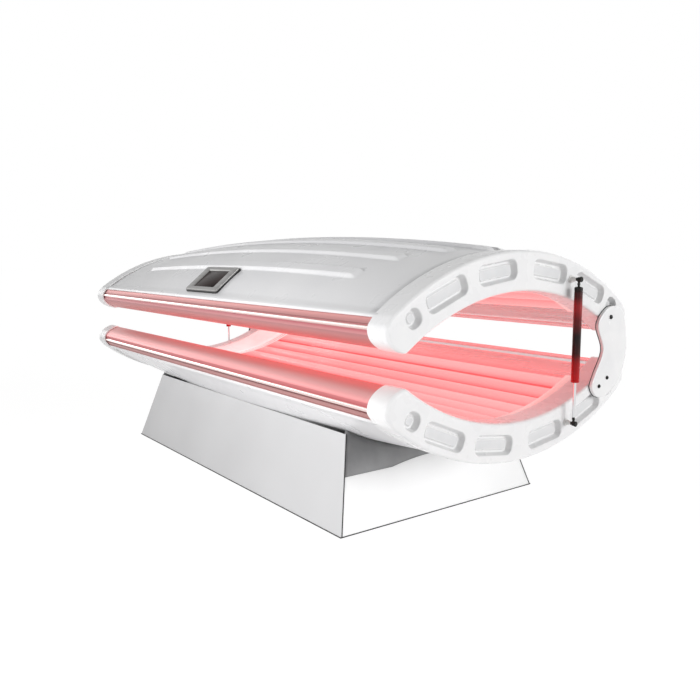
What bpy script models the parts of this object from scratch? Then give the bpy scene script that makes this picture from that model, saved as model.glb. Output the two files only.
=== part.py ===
"""Clamshell red light therapy bed.

A lamp canopy is hinged over a lamp tub along the rear side, with a gas strut at each end, and the tub
stands on a sheet-metal base. +X runs along the bed, -Y is the open front, +Z is up, and the origin lies
on the floor under the middle of the bed.

Sections are drawn as (y, h): y across the bed from its centre line, h away from the mirror plane between
tub and canopy, upwards for the canopy and downwards for the tub.
"""

import math

import bmesh
import bpy
from mathutils import Matrix, Vector

# Fits
FIT = 0.0003
RUN = 0.0005
LAP_CLEAR = 0.0007

# Bed
RAIL_LENGTH = 1.80
MID_HEIGHT = 0.480
CROWN_MID = 0.312
CROWN_END = 0.265
SHELL_WALL = 0.004

# Side rails
NOSE_Y = 0.446
NOSE_H = 0.094
RAIL_FACE_RISE = 0.027
RAIL_FACE_SET = 0.018
RAIL_TIP_IN = 0.054
RAIL_WALL = 0.003
UNDER_TURN = math.radians(65)
UNDER_STEPS = (0.0, 0.2, 0.4, 0.6, 0.8, 1.0)
BEAD_HEIGHT = 0.008
BEAD_PROUD = 0.003
TIP_LIP = 0.002
LIP_WIDTH = 0.005
LEDGE_WIDTH = 0.014

# Acrylic, lamps and reflectors
ACRYLIC_CROWN = 0.172
ACRYLIC_RADIUS = 0.664
ACRYLIC_WALL = 0.005
REFLECTOR_WALL = 0.0015
REFLECTOR_DROP = 0.003
LAMP_COUNT = 12
LAMP_RADIUS = 0.016
LAMP_GLASS = 0.0015
LAMP_RIM = 0.0015
LAMP_SPREAD = math.radians(28)
HOLDER_MARGIN = math.radians(1.8)
HOLDER_DEPTH = 0.030
HOLDER_SETBACK = 0.015

# Roof ribs, from the ridge outwards
RIB_HALF_LENGTHS = (0.86, 0.82, 0.745, 0.69)
RIB_WIDTH = 0.040
RIB_TOP_WIDTH = 0.022
RIB_HEIGHT = 0.008
RIB_TAPER = 0.030

# End caps
CAP_DEPTH = 0.070
CAP_WALL = 0.0045
CAP_FACE = 0.020
CAP_LAP = 0.012
CAP_ROUND = 0.012
POCKET_ANGLES = (8.0, 22.3, 31.5)
POCKET_LENGTHS = (0.135, 0.135, 0.044)
POCKET_WIDTHS = (0.050, 0.050, 0.044)
POCKET_CORNER = 0.018
POCKET_DEPTH = 0.014
POCKET_DRAFT = 0.004
POCKET_OUTSET = 0.003

# Hinge
PIVOT_ANGLE = math.radians(31.9)
PIVOT_INSET = 0.016
PIN_RADIUS = 0.006
PIN_HEAD_RADIUS = 0.009
PIN_HEAD = 0.004
PLATE_WALL = 0.010
PLATE_LOBE = 0.056
PLATE_BOW = 0.083
PLATE_SCREW_ANGLES = (27.8, 31.4)
PLATE_SCREW_INSET = 0.014
SCREW_RADIUS = 0.003
SCREW_HEAD_RADIUS = 0.0055
SCREW_HEAD = 0.003
FIXING_DEPTH = 0.011

# Gas struts
STRUT_ANGLE = math.radians(15.1)
STRUT_OUT = 0.025
STRUT_RADIUS = 0.011
STRUT_BORE = 0.0075
STRUT_EDGE = 0.0016
STRUT_BODY = 0.255
STRUT_NECK = 0.020
STRUT_ROD_RADIUS = 0.004
STRUT_ROD_INSERT = 0.140
STRUT_BORE_SPARE = 0.012
EYE_RADIUS = 0.009
EYE_WIDTH = 0.010
STUD_RADIUS = 0.005
STUD_NUT_RADIUS = 0.0075
STUD_NUT = 0.004

# Display on the roof's front slope
DISPLAY_X = -0.020
DISPLAY_LENGTH = 0.222
DISPLAY_SPAN = 0.0868
DISPLAY_RIB_GAP = 0.0031
DISPLAY_HEM_GAP = 0.0136
DISPLAY_RISE = 0.010
DISPLAY_CORNER = 0.006
DISPLAY_EDGE = 0.002
GLASS_END_MARGIN = 0.038
GLASS_SIDE_MARGIN = 0.018
GLASS_WALL = 0.003
GLASS_CORNER = 0.003
MODULE_MARGIN = 0.008
MODULE_WALL = 0.004

# Underbody pan
PAN_FLOOR = 0.100
PAN_FLAT_HALF = 0.45
PAN_HALF_LENGTH = RAIL_LENGTH / 2
PAN_RISE = 0.15
PAN_SWEEP = 1.6
PAN_FLAT_Y = 0.22
PAN_HALF_WIDTH = 0.295
PAN_RIM = 0.265
PAN_WALL = 0.003

# Base
BASE_LENGTH = 1.408
BASE_WIDTH = 0.762
BASE_LEAN_END = math.radians(16.4)
BASE_LEAN_SIDE = math.radians(15.5)
PANEL_WALL = 0.002
PANEL_LIFT = 0.006
SIDE_PANEL_GAP = 0.0008
END_PANEL_SHOULDER = 0.158
END_PANEL_CLEAR = 0.004
FOOT_HEIGHT = 0.012
FOOT_RADIUS = 0.028
FOOT_INSET = 0.080
FLOOR_WALL = 0.003
BEAM_X = 0.400
BEAM_WIDTH = 0.060
BEAM_LENGTH = 0.400
BEAM_WALL = 0.003
BALLAST_SIZE = (0.280, 0.080, 0.045)
BALLAST_X = 0.170
BALLAST_Y = 0.170
CONTROL_LENGTH = 0.220
CONTROL_WIDTH = 0.140
CONTROL_HEIGHT = 0.055
CASE_EDGE = 0.003

# Cooling fans and mains inlet on the rear panel
FAN_X = 0.340
FAN_HEIGHT = 0.080
FAN_SIZE = 0.080
FAN_DEPTH = 0.025
FAN_HOLE_RADIUS = 0.037
FAN_TIP_GAP = 0.002
FAN_HUB_RADIUS = 0.015
FAN_SPIDER = 0.003
FAN_ARM = 0.006
FAN_BLADES = 7
FAN_TWIST = math.radians(24)
VENT_SLOTS = 5
VENT_PITCH = 0.012
VENT_SLOT = 0.006
INLET_HEIGHT = 0.080
INLET_SIZE = (0.078, 0.050)
INLET_FLANGE = 0.003
INLET_BODY_INSET = 0.005
INLET_BODY_DEPTH = 0.028
SOCKET_SIZE = (0.028, 0.020)
SOCKET_DEPTH = 0.016
SOCKET_SHIFT = 0.016
SWITCH_SIZE = (0.020, 0.028)
SWITCH_SHIFT = 0.018
SWITCH_RISE = 0.003
SWITCH_TILT = math.radians(8)
SWITCH_BODY = 0.010
SWITCH_CLEAR = 0.0015

# Worked out from the sizes above
HALF = RAIL_LENGTH / 2
CAP_END = HALF + CAP_DEPTH
SHEET_END = HALF + CAP_LAP
HEM_Y = NOSE_Y - RAIL_FACE_SET
HEM_H = NOSE_H + RAIL_FACE_RISE
RIB_ROOM = HEM_Y - DISPLAY_HEM_GAP - DISPLAY_SPAN - DISPLAY_RIB_GAP - RIB_WIDTH / 2
RIB_PITCH = RIB_ROOM / (len(RIB_HALF_LENGTHS) - 1)
TIP_Y = NOSE_Y - RAIL_TIP_IN
ARC_CENTRE = ACRYLIC_CROWN - ACRYLIC_RADIUS
LIP_Y = TIP_Y - LIP_WIDTH
LEDGE_Y = LIP_Y - LEDGE_WIDTH
RAIL_TOP = HEM_H - FIT
ACRYLIC_BACK = ACRYLIC_RADIUS + ACRYLIC_WALL
REFLECTOR_RADIUS = math.hypot(LEDGE_Y, RAIL_TOP - REFLECTOR_DROP - REFLECTOR_WALL - ARC_CENTRE)
LAMP_CIRCLE = (ACRYLIC_BACK + REFLECTOR_RADIUS) / 2
POCKET_CIRCLE = (ACRYLIC_RADIUS + CROWN_END - ARC_CENTRE) / 2 + POCKET_OUTSET
STRUT_X = CAP_END + STRUT_OUT
FLOOR_TOP = FOOT_HEIGHT + FIT + FLOOR_WALL

RED_TUBE = (1.0, 0.30, 0.28, 1)
WHITE_ABS = (0.86, 0.86, 0.87, 1)
ENDS = {"near": 1, "far": -1}
SIDES = {"front": -1, "rear": 1}


def clear_scene():
    """Remove everything that the scene holds."""
    for item in list(bpy.data.objects):
        bpy.data.objects.remove(item, do_unlink=True)


def material(name, colour, roughness, metallic=0.0):
    """Principled material of one colour."""
    found = bpy.data.materials.get(name)
    if found:
        return found
    made = bpy.data.materials.new(name)
    made.use_nodes = True
    shader = made.node_tree.nodes["Principled BSDF"]
    shader.inputs["Base Color"].default_value = colour
    shader.inputs["Roughness"].default_value = roughness
    shader.inputs["Metallic"].default_value = metallic
    return made


def finish(name, mesh_maker, look, parent=None, frame=None):
    """Make an object from a bmesh, with its place given by a frame under its parent."""
    bmesh.ops.recalc_face_normals(mesh_maker, faces=mesh_maker.faces)
    mesh = bpy.data.meshes.new(name)
    mesh_maker.to_mesh(mesh)
    mesh_maker.free()
    mesh.shade_smooth()
    mesh.set_sharp_from_angle(angle=math.radians(30))
    item = bpy.data.objects.new(name, mesh)
    bpy.context.scene.collection.objects.link(item)
    if look:
        mesh.materials.append(look)
    if parent:
        item.parent = parent
    if frame:
        item.matrix_local = frame
    return item


def pivot(name, place, lean=0.0, parent=None):
    """Empty on an axis, which the pieces that turn about it are parented to."""
    empty = bpy.data.objects.new(name, None)
    bpy.context.scene.collection.objects.link(empty)
    empty.parent = parent
    empty.matrix_local = Matrix.Translation(place) @ Matrix.Rotation(lean, 4, "X")
    return empty


def cut(item, tool):
    """Take one closed shape away from a piece and keep it as a hidden cutter."""
    tool.hide_render = True
    tool.display_type = "WIRE"
    step = item.modifiers.new("cut", "BOOLEAN")
    step.operation = "DIFFERENCE"
    step.solver = "EXACT"
    step.object = tool


def join(item, tool):
    """Add one closed shape to a piece and keep it as a hidden guide."""
    tool.hide_render = True
    tool.display_type = "WIRE"
    step = item.modifiers.new("join", "BOOLEAN")
    step.operation = "UNION"
    step.solver = "EXACT"
    step.object = tool


def loft(rings, maker=None):
    """Skin a row of closed rings of equally many points and close both ends."""
    maker = maker or bmesh.new()
    loops = [[maker.verts.new(point) for point in ring] for ring in rings]
    for first, second in zip(loops, loops[1:]):
        for i in range(len(first)):
            j = (i + 1) % len(first)
            maker.faces.new((first[i], first[j], second[j], second[i]))
    maker.faces.new(loops[0])
    maker.faces.new(reversed(loops[-1]))
    return maker


def along_x(outline, stops, maker=None):
    """Extrude an outline of (y, z) points along X through the given stops."""
    return loft([[Vector((x, y, z)) for y, z in outline] for x in stops], maker)


def box(size, centre, maker=None):
    """Block of a given size about a centre."""
    maker = maker or bmesh.new()
    shift = Matrix.Translation(centre) @ Matrix.Diagonal((*size, 1))
    bmesh.ops.create_cube(maker, size=1, matrix=shift)
    return maker


def circle(radius, centre, count):
    """Points of a circle in a plane."""
    turns = [2 * math.pi * i / count for i in range(count)]
    return [(centre[0] + radius * math.cos(t), centre[1] + radius * math.sin(t)) for t in turns]


def turned_x(profile, centre, count=14, maker=None):
    """Solid of (x, radius) steps turned about an axis along X through (y, z)."""
    rings = [[Vector((x, y, z)) for y, z in circle(r, centre, count)] for x, r in profile]
    return loft(rings, maker)


def turned_z(profile, count=16, maker=None):
    """Solid of (z, radius) steps turned about the Z axis."""
    return loft([[Vector((x, y, z)) for x, y in circle(r, (0, 0), count)] for z, r in profile], maker)


def rounded_rectangle(width, height, corner, steps=3):
    """Outline of a rectangle with round corners about the origin."""
    points = []
    for quarter, (sx, sy) in enumerate(((1, 1), (-1, 1), (-1, -1), (1, -1))):
        for i in range(steps + 1):
            turn = math.pi / 2 * (quarter + i / steps)
            x = sx * (width / 2 - corner) + corner * math.cos(turn)
            y = sy * (height / 2 - corner) + corner * math.sin(turn)
            points.append((x, y))
    return points


def offset(outline, distance):
    """Closed outline moved outwards, corner by corner."""
    count = len(outline)
    edges = [Vector(outline[(i + 1) % count]) - Vector(outline[i]) for i in range(count)]
    area = sum(a[0] * b[1] - b[0] * a[1] for a, b in zip(outline, outline[1:] + outline[:1]))
    turn = 1 if area > 0 else -1
    normals = [turn * Vector((e.y, -e.x)).normalized() for e in edges]
    moved = []
    for i in range(count):
        before, after = normals[i - 1], normals[i]
        shift = (before + after) / (1 + before.dot(after)) * distance
        moved.append((outline[i][0] + shift.x, outline[i][1] + shift.y))
    return moved


def arc_h(y, radius=ACRYLIC_RADIUS):
    """Height at y of a circle about the acrylic's centre."""
    return ARC_CENTRE + math.sqrt(radius**2 - y**2)


def arc_point(angle, radius):
    """(y, h) on a circle about the acrylic's centre, angle from the crown."""
    return radius * math.sin(angle), ARC_CENTRE + radius * math.cos(angle)


def shell_crown(x):
    """Height of the shell's ridge, falling from the middle to the end caps."""
    share = min(abs(x) / HALF, 1)
    return CROWN_MID - (CROWN_MID - CROWN_END) * share**2


def shell_radius(x):
    """Radius of the shell's arc through both hems and the ridge."""
    rise = shell_crown(x) - HEM_H
    return (HEM_Y**2 + rise**2) / (2 * rise)


def shell_h(x, y, inset=0.0):
    """Height of the shell at (x, y), or of a face inset from it."""
    radius = shell_radius(x)
    return shell_crown(x) - radius + math.sqrt((radius - inset) ** 2 - y**2)


def shell_edge(x, inset):
    """Half width at hem height of the shell inset from its outer face."""
    radius = shell_radius(x)
    return math.sqrt((radius - inset) ** 2 - (HEM_H - shell_crown(x) + radius) ** 2)


def under_face(turns, inset=0.0):
    """Rounded face of a rail between its bead and its tip, as an ellipse from the nose inwards."""
    tip_h = arc_h(TIP_Y) - TIP_LIP
    start_h = NOSE_H - BEAD_HEIGHT / 2
    across = RAIL_TIP_IN / (1 - math.cos(UNDER_TURN))
    deep = (start_h - tip_h) / math.sin(UNDER_TURN)
    centre = NOSE_Y - across
    return [
        (centre + (across - inset) * math.cos(t), start_h - (deep - inset) * math.sin(t))
        for t in (UNDER_TURN * share for share in turns)
    ]


def section_outline():
    """Outline of tub or canopy where they enter an end cap, ridge to ridge."""
    steps = 9
    radius = shell_radius(HALF)
    turn = math.asin(HEM_Y / radius)
    spots = [radius * math.sin(turn * i / steps) for i in range(1, steps + 1)]
    outer = [(y, shell_h(HALF, y)) for y in spots]
    nose = [(NOSE_Y, NOSE_H + BEAD_HEIGHT / 2)]
    under = under_face(UNDER_STEPS)
    inner = [(LIP_Y * i / steps, arc_h(LIP_Y * i / steps)) for i in range(steps, 0, -1)]
    half = outer + nose + under + inner
    mirrored = [(-y, h) for y, h in reversed(half)]
    return [(0.0, CROWN_END)] + half + [(0.0, ACRYLIC_CROWN)] + mirrored


def level(h, side):
    """World height of h: side 1 for the canopy, -1 for the tub."""
    return MID_HEIGHT + side * h


def rail_outline():
    """Section of a side rail at positive y: face, bead, rounded under face, lip and ledge."""
    top = NOSE_H + BEAD_HEIGHT / 2
    bottom = NOSE_H - BEAD_HEIGHT / 2
    bead = [
        (NOSE_Y - BEAD_PROUD, top),
        (NOSE_Y, top - FIT),
        (NOSE_Y, bottom + FIT),
        (NOSE_Y - BEAD_PROUD, bottom),
    ]
    ledge_radius = ACRYLIC_BACK + FIT
    seat = [
        (LIP_Y, arc_h(LIP_Y)),
        (LIP_Y, arc_h(LIP_Y, ledge_radius)),
        (LEDGE_Y, arc_h(LEDGE_Y, ledge_radius)),
    ]
    under = under_face(UNDER_STEPS[2:])
    return [(LEDGE_Y, RAIL_TOP), (HEM_Y, RAIL_TOP)] + bead + under + seat


def rail_hollow():
    """Hollow inside a side rail's walls."""
    wall = RAIL_WALL
    ledge_radius = ACRYLIC_BACK + FIT
    return (
        [
            (LEDGE_Y + wall, RAIL_TOP - wall),
            (HEM_Y - 2 * wall, RAIL_TOP - wall),
            (NOSE_Y - BEAD_PROUD - 1.5 * wall, NOSE_H),
        ]
        + under_face((0.4, 0.6, 0.78), 1.2 * wall)
        + [
            (LIP_Y + wall, arc_h(LIP_Y, ledge_radius) + 1.3 * wall),
            (LEDGE_Y + wall, arc_h(LEDGE_Y, ledge_radius) + 1.3 * wall),
        ]
    )


def side_rail(name, across, side, parent):
    """Hollow polished rail along one long side of tub or canopy."""
    drawn = [(across * y, level(h, side)) for y, h in rail_outline()]
    bored = [(across * y, level(h, side)) for y, h in rail_hollow()]
    look = material("polished_aluminium", (0.80, 0.78, 0.78, 1), 0.18, 1.0)
    rail = finish(name, along_x(drawn, (-SHEET_END, SHEET_END)), look)
    cut(rail, finish(name + "_hollow", along_x(bored, (-SHEET_END - CAP_LAP, SHEET_END + CAP_LAP)), None))
    hang(rail, parent)


def hang(item, parent):
    """Parent a piece that was drawn in world coordinates to an empty on its joint."""
    if parent:
        item.data.transform(Matrix.Translation(-parent.matrix_world.translation))
        item.parent = parent


def rib_rise(x, y):
    """How far the roof's ribs stand up at (x, y)."""
    place = round(abs(y) / RIB_PITCH)
    if place >= len(RIB_HALF_LENGTHS):
        return 0.0
    off = abs(abs(y) - place * RIB_PITCH)
    side = (RIB_WIDTH - RIB_TOP_WIDTH) / 2
    flank = min(max((RIB_WIDTH / 2 - off) / side, 0), 1)
    end = min(max((RIB_HALF_LENGTHS[place] - abs(x)) / RIB_TAPER, 0), 1)
    return RIB_HEIGHT * min(flank, end)


def shell_stations(ribbed):
    """Places along X where the shell's section is drawn."""
    stops = {0.0, 0.3, 0.55, 0.8, 1.0}
    places = {HALF * stop for stop in stops} | {SHEET_END}
    if ribbed:
        places = {0.0, HALF * 0.45, HALF, SHEET_END}
        for length in RIB_HALF_LENGTHS:
            places |= {length, length - RIB_TAPER}
    return sorted({-x for x in places} | places)


def shell_breaks(ribbed):
    """Places across Y where the shell's outer face is drawn."""
    if not ribbed:
        return [HEM_Y * i / 9 for i in range(-9, 10)]
    breaks = set()
    for place in range(len(RIB_HALF_LENGTHS)):
        for half in (RIB_WIDTH / 2, RIB_TOP_WIDTH / 2):
            breaks |= {place * RIB_PITCH + half, place * RIB_PITCH - half}
    last = (len(RIB_HALF_LENGTHS) - 1) * RIB_PITCH + RIB_WIDTH / 2
    breaks |= {last + (HEM_Y - last) * share for share in (0.4, 0.75, 1.0)}
    breaks = {y for y in breaks if y > 0}
    return sorted({-y for y in breaks} | breaks)


def shell(name, side, ribbed, parent):
    """Double-curved skin of tub or canopy, hem to hem."""
    breaks = shell_breaks(ribbed)
    steps = 6
    rings = []
    for x in shell_stations(ribbed):
        outer = [(y, shell_h(x, y) + (rib_rise(x, y) if ribbed else 0.0)) for y in breaks]
        edge = shell_edge(x, SHELL_WALL)
        spots = [edge * i / steps for i in range(steps, -steps - 1, -1)]
        inner = [(y, shell_h(x, y, SHELL_WALL)) for y in spots]
        rings.append([Vector((x, y, level(h, side))) for y, h in outer + inner])
    skin = finish(name, loft(rings), material("white_gloss_shell", WHITE_ABS, 0.25))
    hang(skin, parent)


def arc_sheet(inner, outer, spread, steps, side):
    """Outline of a curved sheet between two radii about the acrylic's centre."""
    turns = [spread * (2 * i / steps - 1) for i in range(steps + 1)]
    front = [arc_point(t, inner) for t in turns]
    back = [arc_point(t, outer) for t in reversed(turns)]
    return [(y, level(h, side)) for y, h in front + back]


def acrylic(name, side, parent):
    """Clear curved sheet over the lamps, held between the rails' lips."""
    spread = math.asin((LIP_Y - FIT) / ACRYLIC_BACK)
    outline = arc_sheet(ACRYLIC_RADIUS, ACRYLIC_BACK, spread, 18, side)
    look = material("clear_acrylic", (1, 0.9, 0.9, 1), 0.05)
    hang(finish(name, along_x(outline, (-SHEET_END, SHEET_END)), look), parent)


def reflector(name, side, parent):
    """Curved mirror sheet behind the lamps, seated between the rails."""
    outer = REFLECTOR_RADIUS + REFLECTOR_WALL
    spread = math.asin((LEDGE_Y - FIT) / outer)
    outline = arc_sheet(REFLECTOR_RADIUS, outer, spread, 18, side)
    look = material("reflector_aluminium", (0.85, 0.80, 0.80, 1), 0.12, 1.0)
    hang(finish(name, along_x(outline, (-HALF + 2 * FIT, HALF - 2 * FIT)), look), parent)


def lamp_bank(name, side, parent):
    """Row of glowing hollow tubes on one arc, fast in a curved bar at each end, on the reflector."""
    spread = LAMP_SPREAD + HOLDER_MARGIN
    outline = arc_sheet(LAMP_CIRCLE - LAMP_RADIUS - LAMP_RIM, REFLECTOR_RADIUS - 2 * FIT, spread, 12, side)
    face = HALF - HOLDER_SETBACK
    bars = bmesh.new()
    for end in ENDS.values():
        along_x(outline, (end * (face - HOLDER_DEPTH), end * face), bars)
    bank = finish(name, bars, material("red_lamp_glass", RED_TUBE, 0.3))
    tubes, bores = bmesh.new(), bmesh.new()
    seated = face - HOLDER_DEPTH / 2
    through = face + HOLDER_DEPTH
    bore = LAMP_RADIUS - LAMP_GLASS
    for i in range(LAMP_COUNT):
        y, h = arc_point(LAMP_SPREAD * (2 * i / (LAMP_COUNT - 1) - 1), LAMP_CIRCLE)
        middle = (y, level(h, side))
        turned_x([(-seated, LAMP_RADIUS), (seated, LAMP_RADIUS)], middle, 8, tubes)
        turned_x([(-through, bore), (through, bore)], middle, 8, bores)
    join(bank, finish(name + "_tubes", tubes, None))
    cut(bank, finish(name + "_bores", bores, None))
    hang(bank, parent)


def pocket_cutters(name, end, side):
    """Six drafted racetrack pockets along the cap's arch, as one cutter."""
    maker = bmesh.new()
    for across in (-1, 1):
        for angle, length, width in zip(POCKET_ANGLES, POCKET_LENGTHS, POCKET_WIDTHS):
            turn = math.radians(angle)
            middle = arc_point(turn, POCKET_CIRCLE)
            along, out = (math.cos(turn), -math.sin(turn)), (math.sin(turn), math.cos(turn))
            rings = []
            stops = ((CAP_END + CAP_LAP, 0.0), (CAP_END, 0.0), (CAP_END - POCKET_DEPTH, POCKET_DRAFT))
            for x, inset in stops:
                shape = rounded_rectangle(length - 2 * inset, width - 2 * inset, POCKET_CORNER - inset)
                rings.append([
                    Vector((
                        end * x,
                        across * (middle[0] + u * along[0] + v * out[0]),
                        level(middle[1] + u * along[1] + v * out[1], side),
                    ))
                    for u, v in shape
                ])
            loft(rings, maker)
    return finish(name, maker, None)


def cap_holes(name, end, side):
    """Blind holes in a cap's face for the strut stud and for the hinge pin or hinge screws."""
    holes = [(strut_place(side), STUD_RADIUS)]
    if side > 0:
        holes.append((pivot_place(), PIN_RADIUS))
    else:
        holes += [(place, SCREW_RADIUS) for place in screw_places()]
    maker = bmesh.new()
    for place, radius in holes:
        depth = CAP_END - FIXING_DEPTH - FIT
        turned_x([(end * depth, radius + FIT), (end * (CAP_END + CAP_LAP), radius + FIT)], place, 14, maker)
    return finish(name, maker, None)


def end_cap(name, end, side, parent):
    """Hollow white moulding that closes one end of tub or canopy, with pockets in its face."""
    outline = section_outline()
    proud = LAP_CLEAR + CAP_WALL
    steps = [(CAP_END - CAP_FACE, LAP_CLEAR), (HALF, LAP_CLEAR), (HALF, proud)]
    for turn in (0, 45, 90):
        round_off = math.radians(turn)
        x = CAP_END - CAP_ROUND * (1 - math.sin(round_off))
        steps.append((x, proud - CAP_ROUND * (1 - math.cos(round_off))))
    rings = [
        [Vector((end * x, y, level(h, side))) for y, h in offset(outline, distance)] for x, distance in steps
    ]
    cap = finish(name, loft(rings), material("white_gloss_cap", (0.9, 0.9, 0.9, 1), 0.22))
    cut(cap, pocket_cutters(name + "_pockets", end, side))
    cut(cap, cap_holes(name + "_holes", end, side))
    hang(cap, parent)


def pivot_place():
    """(y, z) of the canopy's hinge axis."""
    y, h = arc_point(PIVOT_ANGLE, ACRYLIC_RADIUS + PIVOT_INSET)
    return y, level(h, 1)


def screw_places():
    """(y, z) of the screws that hold a hinge plate to the tub's end cap."""
    places = []
    for angle in PLATE_SCREW_ANGLES:
        y, h = arc_point(math.radians(angle), ACRYLIC_RADIUS + PLATE_SCREW_INSET)
        places.append((y, level(h, -1)))
    return places


def strut_place(side):
    """(y, z) of a strut's stud on tub or canopy."""
    y, h = arc_point(STRUT_ANGLE, POCKET_CIRCLE - POCKET_OUTSET)
    return y, level(h, side)


def smooth_loop(points, steps=3):
    """Closed curve through the given points."""
    count = len(points)
    curve = []
    for i in range(count):
        before, start, stop, after = (Vector(points[(i + k) % count]) for k in (-1, 0, 1, 2))
        for step in range(steps):
            t = step / steps
            spot = start + t * (stop - before) / 2
            spot += t**2 * (before - 2.5 * start + 2 * stop - after / 2)
            spot += t**3 * (1.5 * (start - stop) + (after - before) / 2)
            curve.append((spot.x, spot.y))
    return curve


def hinge_plate(name, end):
    """Banana-shaped plate from the tub's cap up to the hinge pin, waisted at the gap."""
    pin_y, pin_z = pivot_place()
    screws = screw_places()
    low_y = sum(place[0] for place in screws) / len(screws)
    low_z = sum(place[1] for place in screws) / len(screws)
    rear = max(pin_y, low_y)
    mid_z = (pin_z + low_z) / 2
    outline = smooth_loop([
        (pin_y - PLATE_LOBE * 0.39, pin_z + PLATE_LOBE * 0.39),
        (pin_y - PLATE_LOBE, pin_z - PLATE_LOBE * 0.39),
        (pin_y - PLATE_LOBE / 2, mid_z),
        (low_y - PLATE_LOBE * 0.64, low_z + PLATE_LOBE * 0.46),
        (low_y - PLATE_LOBE * 0.89, low_z - PLATE_LOBE * 0.21),
        (low_y - PLATE_LOBE * 0.36, low_z - PLATE_LOBE * 0.75),
        (low_y + PLATE_LOBE * 0.57, low_z - PLATE_LOBE * 0.64),
        (rear + PLATE_BOW * 0.70, low_z + PLATE_LOBE * 0.11),
        (rear + PLATE_BOW * 0.99, mid_z - PLATE_LOBE * 0.54),
        (rear + PLATE_BOW, mid_z + PLATE_LOBE * 0.54),
        (rear + PLATE_BOW * 0.75, pin_z + PLATE_LOBE * 0.11),
        (pin_y + PLATE_LOBE * 0.39, pin_z + PLATE_LOBE * 0.54),
    ])
    inner = CAP_END + FIT
    outer = inner + PLATE_WALL
    rings = []
    for x, inset in ((inner, 0.0), (outer - PLATE_WALL / 4, 0.0), (outer, PLATE_WALL / 4)):
        rings.append([Vector((end * x, y, z)) for y, z in offset(outline, -inset)])
    plate = finish(name, loft(rings), material("white_hinge_plate", (0.9, 0.9, 0.9, 1), 0.25))
    maker = bmesh.new()
    holes = [(pivot_place(), PIN_RADIUS + RUN)] + [(spot, SCREW_RADIUS + FIT) for spot in screws]
    for place, radius in holes:
        stops = (end * (inner - PLATE_WALL), end * (outer + PLATE_WALL))
        turned_x([(x, radius) for x in stops], place, 14, maker)
    cut(plate, finish(name + "_holes", maker, None))


def plate_face():
    """Distance from the middle of the bed to the outer face of a hinge plate."""
    return CAP_END + FIT + PLATE_WALL


def hinge_pin(name, end, parent):
    """Headed pin fixed in the canopy's cap, on which the hinge plate carries the canopy."""
    face = plate_face()
    profile = [
        (end * (CAP_END - FIXING_DEPTH), PIN_RADIUS),
        (end * (face + FIT), PIN_RADIUS),
        (end * (face + FIT), PIN_HEAD_RADIUS),
        (end * (face + FIT + PIN_HEAD), PIN_HEAD_RADIUS - PIN_HEAD / 4),
    ]
    look = material("black_screw", (0.03, 0.03, 0.03, 1), 0.35, 0.6)
    hang(finish(name, turned_x(profile, pivot_place()), look), parent)


def hinge_screw(name, end, place):
    """Screw that holds a hinge plate to the tub's cap."""
    face = plate_face()
    profile = [
        (end * (CAP_END - FIXING_DEPTH), SCREW_RADIUS),
        (end * (face + FIT), SCREW_RADIUS),
        (end * (face + FIT), SCREW_HEAD_RADIUS),
        (end * (face + FIT + SCREW_HEAD), SCREW_HEAD_RADIUS - SCREW_HEAD / 3),
    ]
    finish(name, turned_x(profile, place, 14), material("black_screw", (0.03, 0.03, 0.03, 1), 0.35, 0.6))


def strut_stud(name, end, side, parent):
    """Pin that stands out of a cap and carries one eye of a gas strut under a nut."""
    eye_in = STRUT_X - EYE_WIDTH / 2 - FIT
    eye_out = STRUT_X + EYE_WIDTH / 2 + FIT
    profile = [
        (end * (CAP_END - FIXING_DEPTH), STUD_RADIUS),
        (end * (CAP_END + FIT), STUD_RADIUS),
        (end * (CAP_END + FIT), STUD_NUT_RADIUS),
        (end * eye_in, STUD_NUT_RADIUS),
        (end * eye_in, STUD_RADIUS),
        (end * eye_out, STUD_RADIUS),
        (end * eye_out, STUD_NUT_RADIUS),
        (end * (eye_out + STUD_NUT), STUD_NUT_RADIUS - STUD_NUT / 3),
    ]
    look = material("black_stud", (0.04, 0.04, 0.04, 1), 0.3, 0.7)
    hang(finish(name, turned_x(profile, strut_place(side)), look), parent)


def eyed_bar(name, profile, look, parent):
    """Turned bar along Z whose eye lies at its origin, bored along X for a stud."""
    bar = finish(name + "_bar", turned_z(profile), None, parent)
    half = EYE_WIDTH / 2
    edge = EYE_RADIUS - half / 4
    eye = [(-half, edge), (-half / 2, EYE_RADIUS), (half / 2, EYE_RADIUS), (half, edge)]
    item = finish(name, turned_x(eye, (0, 0), 18), look, parent)
    join(item, bar)
    bore = [(-EYE_WIDTH, STUD_RADIUS + RUN), (EYE_WIDTH, STUD_RADIUS + RUN)]
    cut(item, finish(name + "_hole", turned_x(bore, (0, 0), 18), None, parent))
    return item


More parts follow.
